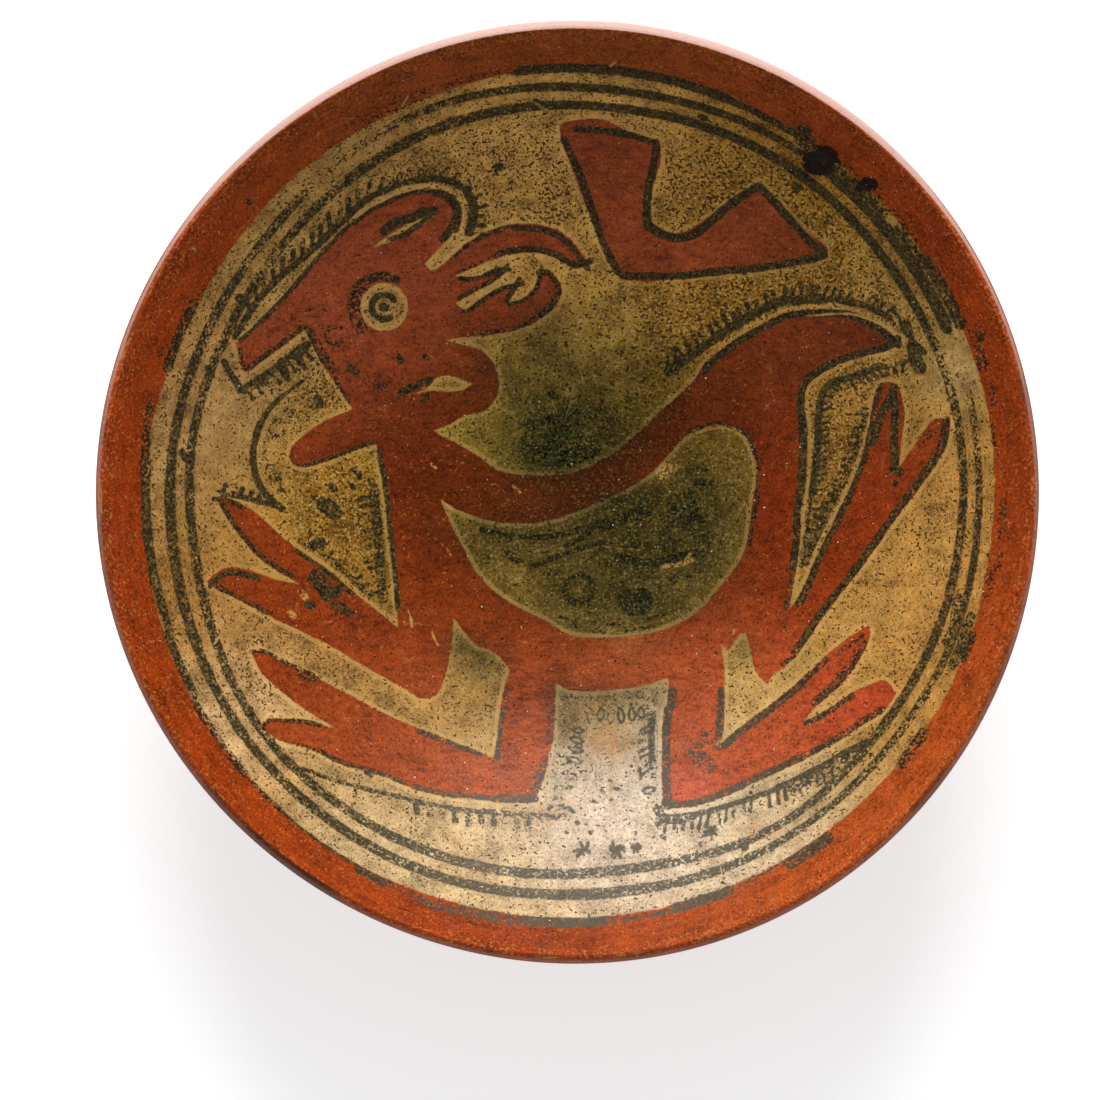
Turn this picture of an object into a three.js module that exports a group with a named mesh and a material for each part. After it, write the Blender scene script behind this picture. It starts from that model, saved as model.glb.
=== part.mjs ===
// A shallow hand-built pottery bowl, in millimetres, standing on its foot ring.
// +Z is up and the origin is on the bowl's axis, on the surface that it stands on.
//
// The clay pieces are those that a potter joins when the clay is leather hard: a pressed disc for
// the floor, four coils that are thinned and smoothed into the wall, a last coil that is drawn out
// into the rounded lip, and a coil luted underneath as the foot ring. Each joint runs straight
// through the wall, square to its inside face, and neighbours share the joint's face.
import * as THREE from "three";

// Driving dimensions of the dish
const BOWL_DIAMETER = 250; // over the lip
const BOWL_HEIGHT = 62; // from the table to the crest of the lip
const CENTRE_CLEARANCE = 5; // from the table to the underside of the floor, on the axis
const FLOOR_THICKNESS = 8; // clay on the axis
const LIP_RADIUS = 2.4; // of the round that turns over from the crest to the outside
const CURVE_POWER = 2.3; // of the inside curve: 2 is a parabola, more is flatter in the middle

// Driving dimensions of the pieces
const BASE_DISC_RADIUS = 60; // of the pressed disc, on its inside face
const RIM_COIL_REACH = 8; // from the rim coil's joint to the crest, along the radius
const WALL_COILS = 4;

// Driving dimensions of the foot ring
const FOOT_DIAMETER = 100; // over the face that it stands on
const FOOT_FACE_WIDTH = 8; // of that face
const FOOT_JOINT_INNER = 38; // where the ring meets the underside, as a radius of the inside face
const FOOT_JOINT_OUTER = 52;
const FOOT_EDGE_RADIUS = 1.6; // of the worn edges beside the standing face

// How finely the round shapes are cut
const SEGMENTS = 72; // round the axis
const FLOOR_STEPS = 5; // across the floor, from the axis to the foot ring's joint
const FOOT_STEPS = 3; // across the foot ring's joint
const COIL_STEPS = 3; // up each coil
const LIP_STEPS = 4; // round each half of the lip, under and over its widest point
const EDGE_STEPS = 3; // round each edge of the foot ring
const FLANK_STEPS = 3; // down each flank of the foot ring

// Colours of the fired slips
const CREAM_SLIP = 0xc3a066;
const RED_SLIP = 0xa8431c;
const BURNISHED_ROUGHNESS = 0.45;

const FLOOR_HEIGHT = CENTRE_CLEARANCE + FLOOR_THICKNESS;
const INSIDE_DEPTH = BOWL_HEIGHT - FLOOR_HEIGHT;
const CREST_RADIUS = BOWL_DIAMETER / 2 - LIP_RADIUS;
const RIM_JOINT_RADIUS = CREST_RADIUS - RIM_COIL_REACH;
const CREST_SLOPE = slopeAt(CREST_RADIUS);
// The lip's round starts level at the crest and runs into the outside face without a corner.
const LIP_THICKNESS = LIP_RADIUS * (1 + Math.cos(CREST_SLOPE));

// Height of the inside face at a radius.
function insideHeight(radius) {
  return FLOOR_HEIGHT + INSIDE_DEPTH * (radius / CREST_RADIUS) ** CURVE_POWER;
}

// Angle between the inside face and the level, in radians.
function slopeAt(radius) {
  const rise = (INSIDE_DEPTH * CURVE_POWER) / CREST_RADIUS;
  return Math.atan(rise * (radius / CREST_RADIUS) ** (CURVE_POWER - 1));
}

// Clay between the inside and outside faces, thinning evenly from the floor to the lip.
function thicknessAt(radius) {
  return FLOOR_THICKNESS + ((LIP_THICKNESS - FLOOR_THICKNESS) * radius) / CREST_RADIUS;
}

function insidePoint(radius) {
  return new THREE.Vector2(radius, insideHeight(radius));
}

// The point of the outside face that lies square through the clay from insidePoint(radius).
function outsidePoint(radius) {
  const slope = slopeAt(radius);
  const through = new THREE.Vector2(Math.sin(slope), -Math.cos(slope));
  return insidePoint(radius).addScaledVector(through, thicknessAt(radius));
}

// Evenly spaced values from first to last, both included.
function spread(first, last, steps) {
  return Array.from({ length: steps + 1 }, (_, i) => first + ((last - first) * i) / steps);
}

// Points of a circular arc, both ends included. Angles are in radians from the radius axis.
function arc(centre, radius, from, to, steps) {
  return spread(from, to, steps).map(
    (angle) =>
      new THREE.Vector2(centre.x + radius * Math.cos(angle), centre.y + radius * Math.sin(angle)),
  );
}

// A named mesh turned from a profile of (radius, height) points that runs anticlockwise.
function turned(name, profile, colour) {
  const geometry = new THREE.LatheGeometry(profile, SEGMENTS);
  geometry.rotateX(Math.PI / 2);
  const material = new THREE.MeshStandardMaterial({
    color: colour,
    roughness: BURNISHED_ROUGHNESS,
    metalness: 0,
  });
  const mesh = new THREE.Mesh(geometry, material);
  mesh.name = name;
  return mesh;
}

// The pressed disc: its underside has the points that the foot ring's joint needs.
function baseDisc() {
  const radii = [
    ...spread(0, FOOT_JOINT_INNER, FLOOR_STEPS),
    ...spread(FOOT_JOINT_INNER, FOOT_JOINT_OUTER, FOOT_STEPS).slice(1),
    BASE_DISC_RADIUS,
  ];
  const underside = radii.map(outsidePoint);
  const floor = radii.map(insidePoint).reverse();
  return turned("base_disc", [...underside, ...floor], CREAM_SLIP);
}

// One coil of the wall between two radii of the inside face.
function wallCoil(name, innerRadius, outerRadius) {
  const radii = spread(innerRadius, outerRadius, COIL_STEPS);
  const outside = radii.map(outsidePoint);
  const inside = radii.map(insidePoint).reverse();
  return turned(name, [...outside, ...inside, outside[0]], CREAM_SLIP);
}

// The last coil, drawn out into a lip with a crisp inside edge and a round outside.
function rimCoil() {
  const radii = spread(RIM_JOINT_RADIUS, CREST_RADIUS, COIL_STEPS);
  const outside = radii.slice(0, -1).map(outsidePoint);
  const inside = radii.slice(0, -1).map(insidePoint).reverse();
  const centre = new THREE.Vector2(CREST_RADIUS, BOWL_HEIGHT - LIP_RADIUS);
  const under = arc(centre, LIP_RADIUS, CREST_SLOPE - Math.PI / 2, 0, LIP_STEPS);
  const over = arc(centre, LIP_RADIUS, 0, Math.PI / 2, LIP_STEPS).slice(1);
  return turned("rim_coil", [...outside, ...under, ...over, ...inside, outside[0]], RED_SLIP);
}

// One flank of the foot ring: a hollow curve from the joint down to the worn edge.
function flank(joint, edge) {
  const waist = new THREE.Vector2(edge.x, (joint.y + edge.y) / 2);
  return new THREE.QuadraticBezierCurve(joint, waist, edge).getPoints(FLANK_STEPS);
}

// The coil luted under the floor, from the joint round the inner flank, the standing face and the
// outer flank.
function footRing() {
  const joint = spread(FOOT_JOINT_OUTER, FOOT_JOINT_INNER, FOOT_STEPS).map(outsidePoint);
  const outerEdge = new THREE.Vector2(FOOT_DIAMETER / 2, FOOT_EDGE_RADIUS);
  const innerEdge = new THREE.Vector2(FOOT_DIAMETER / 2 - FOOT_FACE_WIDTH, FOOT_EDGE_RADIUS);
  const innerCorner = arc(innerEdge, FOOT_EDGE_RADIUS, Math.PI, 1.5 * Math.PI, EDGE_STEPS);
  const outerCorner = arc(outerEdge, FOOT_EDGE_RADIUS, -Math.PI / 2, 0, EDGE_STEPS);
  const innerFlank = flank(joint.at(-1), innerCorner[0]).slice(1, -1);
  const outerFlank = flank(joint[0], outerCorner.at(-1)).slice(1, -1).reverse();
  const profile = [...joint, ...innerFlank, ...innerCorner, ...outerCorner, ...outerFlank];
  return turned("foot_ring", [...profile, joint[0]], RED_SLIP);
}

const bowl = new THREE.Group();
bowl.name = "pottery_bowl";
bowl.add(baseDisc());
const coilRadii = spread(BASE_DISC_RADIUS, RIM_JOINT_RADIUS, WALL_COILS);
for (let i = 0; i < WALL_COILS; i++) {
  bowl.add(wallCoil(`wall_coil_${i + 1}`, coilRadii[i], coilRadii[i + 1]));
}
bowl.add(rimCoil());
bowl.add(footRing());

export default bowl;
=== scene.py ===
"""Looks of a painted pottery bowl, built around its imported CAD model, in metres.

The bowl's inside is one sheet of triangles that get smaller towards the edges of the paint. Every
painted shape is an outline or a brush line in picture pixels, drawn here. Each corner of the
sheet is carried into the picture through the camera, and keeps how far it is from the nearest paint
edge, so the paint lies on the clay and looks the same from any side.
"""
import math

import bpy
import numpy as np
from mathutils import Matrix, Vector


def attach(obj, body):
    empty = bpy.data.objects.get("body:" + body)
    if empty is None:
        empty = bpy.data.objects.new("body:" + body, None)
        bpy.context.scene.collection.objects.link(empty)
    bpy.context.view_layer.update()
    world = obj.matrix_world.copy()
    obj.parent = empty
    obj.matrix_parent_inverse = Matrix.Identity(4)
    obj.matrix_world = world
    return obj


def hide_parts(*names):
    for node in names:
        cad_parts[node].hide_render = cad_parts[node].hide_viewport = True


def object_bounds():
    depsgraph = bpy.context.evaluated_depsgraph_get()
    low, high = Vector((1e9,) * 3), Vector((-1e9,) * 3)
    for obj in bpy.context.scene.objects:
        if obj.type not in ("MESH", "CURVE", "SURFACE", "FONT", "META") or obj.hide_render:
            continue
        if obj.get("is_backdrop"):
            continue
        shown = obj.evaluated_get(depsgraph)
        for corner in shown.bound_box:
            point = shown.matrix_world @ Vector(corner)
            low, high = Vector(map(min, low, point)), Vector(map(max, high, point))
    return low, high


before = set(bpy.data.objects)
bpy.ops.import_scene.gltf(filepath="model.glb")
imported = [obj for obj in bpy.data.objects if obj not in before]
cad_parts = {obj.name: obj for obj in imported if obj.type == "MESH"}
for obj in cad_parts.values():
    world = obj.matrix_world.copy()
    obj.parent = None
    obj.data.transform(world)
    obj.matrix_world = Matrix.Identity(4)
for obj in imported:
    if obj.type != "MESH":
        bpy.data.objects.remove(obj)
cad_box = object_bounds()

# Paint outlines, in picture pixels
# An outline is a list of spans. A span is a smooth curve through its points, and the outline has a
# corner where one span ends and the next begins.
SNOUT_TIP = (236, 344)
CREST_SLIT_END = (425, 264)
HORN_TIP = (591, 265)
HORN_ROOT = (456, 276)
WEDGE_TIP = (510, 267)
FINGER_END = (456, 303)
FINGER_TIP = (522, 281)
HOOK_TIP = (509, 302)
EAR_TOP = (539, 269)
MOUTH_CORNER = (444, 340)
CHEEK_CORNER = (434, 431)
TAIL_TIP = (901, 341)
POCKET_END = (789, 609)
HAND_FORK = (899, 467)
HAND_TIP = (951, 421)
HIP_NOTCH = (768, 685)
HIP_POINT = (721, 644)
RIGHT_LEG_CORNER = (722, 742)
RIGHT_FOOT_TIP = (870, 624)
RIGHT_FOOT_FORK = (804, 721)
RIGHT_TOE_TIP = (897, 693)
RIGHT_HEEL = (664, 806)
ARCH_RIGHT = (668, 678)
ARCH_LEFT = (556, 683)
LEFT_HEEL = (535, 803)
LEFT_TOE_TIP = (259, 727)
LEFT_FOOT_FORK = (336, 729)
LEFT_FOOT_TIP = (251, 652)
LEFT_LEG_CORNER = (494, 758)
BELLY_POINT = (454, 619)
LOWER_CLAW_TIP = (206, 582)
CLAW_FORK = (299, 584)
UPPER_CLAW_TIP = (214, 496)
ARMPIT = (398, 627)
JAW_ROOT = (376, 444)
JAW_TOP = (352, 409)
LIP_CORNER = (305, 330)

FIGURE = [
    [SNOUT_TIP, (262, 321), (292, 289), (322, 253), (342, 233), (362, 214), (382, 202), (410, 191),
     (440, 189), (455, 199), (461, 214), (453, 233), (434, 254), CREST_SLIT_END],
    [CREST_SLIT_END, (433, 270), (446, 261), (468, 242), (494, 229), (523, 223), (550, 227),
     (570, 238), (586, 258), HORN_TIP],
    [HORN_TIP, (576, 269), (565, 265), (552, 257), (530, 253), (505, 256), (480, 265), HORN_ROOT],
    [HORN_ROOT, (475, 276), (495, 268), WEDGE_TIP],
    [WEDGE_TIP, (500, 278), (485, 287), (468, 296), FINGER_END],
    [FINGER_END, (466, 309), (480, 299), (500, 287), FINGER_TIP],
    [FINGER_TIP, (516, 291), HOOK_TIP],
    [HOOK_TIP, (522, 298), (533, 289), (538, 276), EAR_TOP],
    [EAR_TOP, (551, 271), (562, 287), (556, 306), (535, 323), (510, 332), (480, 336), MOUTH_CORNER],
    [MOUTH_CORNER, (470, 346), (485, 353), (495, 366), (499, 388), (488, 409), (465, 416), (450, 424),
     CHEEK_CORNER],
    [CHEEK_CORNER, (456, 443), (480, 457), (496, 469), (515, 474), (550, 475), (575, 471), (610, 455),
     (635, 435), (658, 413), (690, 384), (709, 359), (740, 336), (770, 319), (790, 311), (820, 309),
     (850, 311), (880, 325), TAIL_TIP],
    [TAIL_TIP, (888, 351), (862, 357), (832, 368), (810, 383), (805, 400), (808, 435), (806, 480),
     (801, 512), (800, 540), (796, 570), POCKET_END],
    [POCKET_END, (801, 593), (818, 552), (837, 514), (857, 470), (868, 431), (873, 402), (880, 384),
     (893, 382), (900, 389), (905, 414), (902, 440), HAND_FORK],
    [HAND_FORK, (914, 446), (930, 423), (941, 418), HAND_TIP],
    [HAND_TIP, (945, 449), (924, 482), (895, 521), (860, 570), (828, 611), (801, 650), (785, 667),
     (774, 675), HIP_NOTCH],
    [HIP_NOTCH, (760, 678), (753, 666), (750, 648), (745, 634), (738, 636), (729, 650), HIP_POINT],
    [HIP_POINT, (724, 662), (725, 685), (724, 715), RIGHT_LEG_CORNER],
    [RIGHT_LEG_CORNER, (741, 726), (767, 707), (800, 680), (830, 652), (856, 632), RIGHT_FOOT_TIP],
    [RIGHT_FOOT_TIP, (869, 641), (855, 668), (838, 688), (818, 706), RIGHT_FOOT_FORK],
    [RIGHT_FOOT_FORK, (828, 709), (851, 693), (871, 684), (885, 680), RIGHT_TOE_TIP],
    [RIGHT_TOE_TIP, (884, 711), (864, 724), (835, 743), (797, 763), (750, 785), (719, 799), (691, 807),
     (674, 808), RIGHT_HEEL],
    [RIGHT_HEEL, (662, 780), (662, 740), (664, 712), (668, 700), ARCH_RIGHT],
    [ARCH_RIGHT, (650, 684), (625, 689), (590, 692), (567, 690), ARCH_LEFT],
    [ARCH_LEFT, (555, 710), (554, 735), (550, 753), (545, 775), LEFT_HEEL],
    [LEFT_HEEL, (510, 803), (483, 800), (450, 797), (413, 789), (382, 776), (343, 765), (312, 750),
     (280, 741), LEFT_TOE_TIP],
    [LEFT_TOE_TIP, (270, 718), (285, 719), (310, 721), LEFT_FOOT_FORK],
    [LEFT_FOOT_FORK, (310, 713), (285, 695), (262, 674), LEFT_FOOT_TIP],
    [LEFT_FOOT_TIP, (265, 652), (290, 665), (320, 679), (352, 696), (388, 715), (430, 733),
     (470, 748), LEFT_LEG_CORNER],
    [LEFT_LEG_CORNER, (497, 735), (500, 710), (505, 685), (510, 670)],
    [(510, 670), (495, 653), (476, 645), (462, 630), BELLY_POINT],
    [BELLY_POINT, (451, 650), (445, 677), (437, 694), (422, 699), (408, 691), (386, 679), (360, 664),
     (330, 646), (300, 631), (270, 617), (240, 601), (218, 590), LOWER_CLAW_TIP],
    [LOWER_CLAW_TIP, (214, 574), (228, 567), (250, 570), (275, 579), CLAW_FORK],
    [CLAW_FORK, (265, 563), (245, 543), (225, 515), UPPER_CLAW_TIP],
    [UPPER_CLAW_TIP, (230, 498), (255, 512), (290, 543), (330, 571), (360, 597), ARMPIT],
    [ARMPIT, (394, 580), (388, 525), (383, 483), JAW_ROOT],
    [JAW_ROOT, (350, 453), (325, 462), (305, 468), (292, 463), (291, 448), (310, 430), (330, 418),
     JAW_TOP],
    [JAW_TOP, (341, 392), (321, 362), LIP_CORNER],
    [LIP_CORNER, (280, 349), (262, 362), (244, 372), SNOUT_TIP],
]
HOLLOW = [
    [(441, 500), (460, 511), (490, 521), (525, 524), (560, 518), (595, 504), (632, 486), (657, 468),
     (682, 440), (700, 429), (722, 425), (741, 432), (752, 450), (757, 476), (751, 508), (747, 541),
     (735, 568), (716, 591), (700, 609), (670, 627), (635, 635), (600, 637), (570, 635), (545, 620),
     (511, 603), (480, 577), (465, 550), (449, 520), (441, 500)],
]
CREST_PIECE = [
    [(560, 137), (560, 126), (570, 121), (602, 119), (630, 132), (660, 141)],
    [(660, 141), (661, 162), (652, 190), (651, 222)],
    [(651, 222), (664, 230), (682, 232), (702, 221), (726, 205), (758, 181)],
    [(758, 181), (778, 201), (802, 227), (828, 247)],
    [(828, 247), (822, 259), (780, 269), (740, 274), (690, 277), (650, 282), (619, 279)],
    [(619, 279), (604, 250), (591, 220), (576, 180), (560, 137)],
]
CHEEK_SLIT = [
    [(411, 395), (427, 388), (436, 379), (450, 376), (472, 384)],
    [(472, 384), (458, 391), (432, 391), (411, 395)],
]
CREST_SLIT = [
    [(372, 248), (390, 235), (414, 221), (438, 209)],
    [(438, 209), (428, 221), (404, 235), (372, 248)],
]

# Ink that follows the figure's outline: from a point to a point, clockwise, with how far the middle
# of the line lies inside the outline, half its width, and how much of it is left
EDGE_INK = [
    ((240, 340), (352, 222), -0.2, 2.3, 0.85),
    ((352, 222), (436, 190), 2.4, 2.3, 0.85),
    ((436, 190), (444, 244), 4.4, 3.4, 0.9),
    ((455, 252), (520, 223), 2.6, 2.5, 0.72),
    ((520, 223), HORN_TIP, 5.0, 3.0, 0.9),
    (HORN_TIP, (500, 258), 4.0, 3.2, 0.9),
    ((500, 258), (462, 275), 2.5, 1.5, 0.6),
    ((459, 277), WEDGE_TIP, 2.6, 2.3, 0.85),
    (WEDGE_TIP, (460, 300), 2.6, 2.2, 0.8),
    ((464, 308), FINGER_TIP, 2.6, 2.4, 0.9),
    (FINGER_TIP, HOOK_TIP, 3.0, 2.8, 0.85),
    (HOOK_TIP, EAR_TOP, 2.6, 2.2, 0.8),
    (EAR_TOP, (535, 323), 4.0, 3.2, 0.75),
    ((535, 323), (470, 336), 2.6, 2.0, 0.6),
    ((655, 416), (700, 368), 2.5, 2.0, 0.5),
    ((700, 368), TAIL_TIP, 4.2, 3.6, 0.92),
    (TAIL_TIP, (806, 398), 4.2, 3.6, 0.92),
    ((806, 398), (806, 480), 4.8, 4.2, 0.92),
    ((806, 480), (796, 570), 3.9, 3.7, 0.85),
    ((796, 570), POCKET_END, 2.8, 2.8, 0.7),
    ((796, 600), (845, 498), 3.7, 3.5, 0.82),
    ((845, 498), (871, 415), 3.3, 3.2, 0.8),
    ((871, 415), (880, 384), 2.5, 2.4, 0.7),
    (HAND_TIP, (895, 521), 4.4, 4.0, 0.82),
    ((895, 521), (801, 650), 4.2, 3.8, 0.85),
    ((801, 650), (786, 667), 3.2, 3.0, 0.6),
    ((724, 690), RIGHT_LEG_CORNER, 3.6, 3.6, 0.78),
    (RIGHT_LEG_CORNER, (800, 680), 3.9, 3.8, 0.8),
    ((800, 680), (822, 659), 3.0, 3.0, 0.7),
    ((867, 645), (818, 706), 4.6, 4.2, 0.72),
    (RIGHT_FOOT_FORK, (851, 693), 2.8, 2.8, 0.72),
    ((884, 711), (797, 763), 3.0, 3.2, 0.7),
    ((797, 763), (691, 807), 3.6, 3.7, 0.8),
    ((691, 807), RIGHT_HEEL, 3.8, 3.8, 0.8),
    (RIGHT_HEEL, (662, 760), 4.2, 4.2, 0.78),
    ((662, 760), (668, 692), 4.0, 4.2, 0.78),
    ((555, 700), (553, 742), 4.5, 4.0, 0.48),
    ((548, 762), (539, 792), 4.0, 4.0, 0.62),
    (LEFT_HEEL, (498, 802), 4.2, 4.2, 0.78),
    ((498, 802), (415, 789), 2.6, 2.8, 0.7),
    ((400, 784), (320, 755), 2.2, 2.5, 0.7),
    ((318, 754), (285, 743), 1.4, 1.7, 0.55),
    ((262, 722), (318, 723), 1.8, 2.3, 0.68),
    (LEFT_FOOT_TIP, (312, 676), -0.4, 2.2, 0.66),
    ((312, 676), (388, 715), 1.2, 1.2, 0.4),
    ((424, 731), (482, 752), 2.2, 2.7, 0.7),
    (LEFT_LEG_CORNER, (500, 712), 3.0, 2.4, 0.85),
    ((500, 712), (504, 688), 3.6, 3.2, 0.5),
    ((272, 618), (208, 585), 2.6, 2.6, 0.66),
    (LOWER_CLAW_TIP, (262, 575), 5.6, 2.9, 0.88),
    ((292, 580), (222, 508), 2.9, 2.7, 0.72),
    (UPPER_CLAW_TIP, (246, 505), 3.2, 2.6, 0.8),
    ((300, 550), (354, 592), 2.6, 2.2, 0.75),
    ((397, 604), (376, 456), 1.8, 2.7, 0.82),
    (JAW_ROOT, (305, 467), 2.6, 1.9, 0.8),
    ((305, 467), (291, 450), 2.2, 1.6, 0.5),
    ((326, 370), LIP_CORNER, 3.0, 3.2, 0.7),
    (LIP_CORNER, (244, 371), 3.6, 2.6, 0.75),
    ((244, 371), (237, 348), 2.6, 1.8, 0.6),
]

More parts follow.
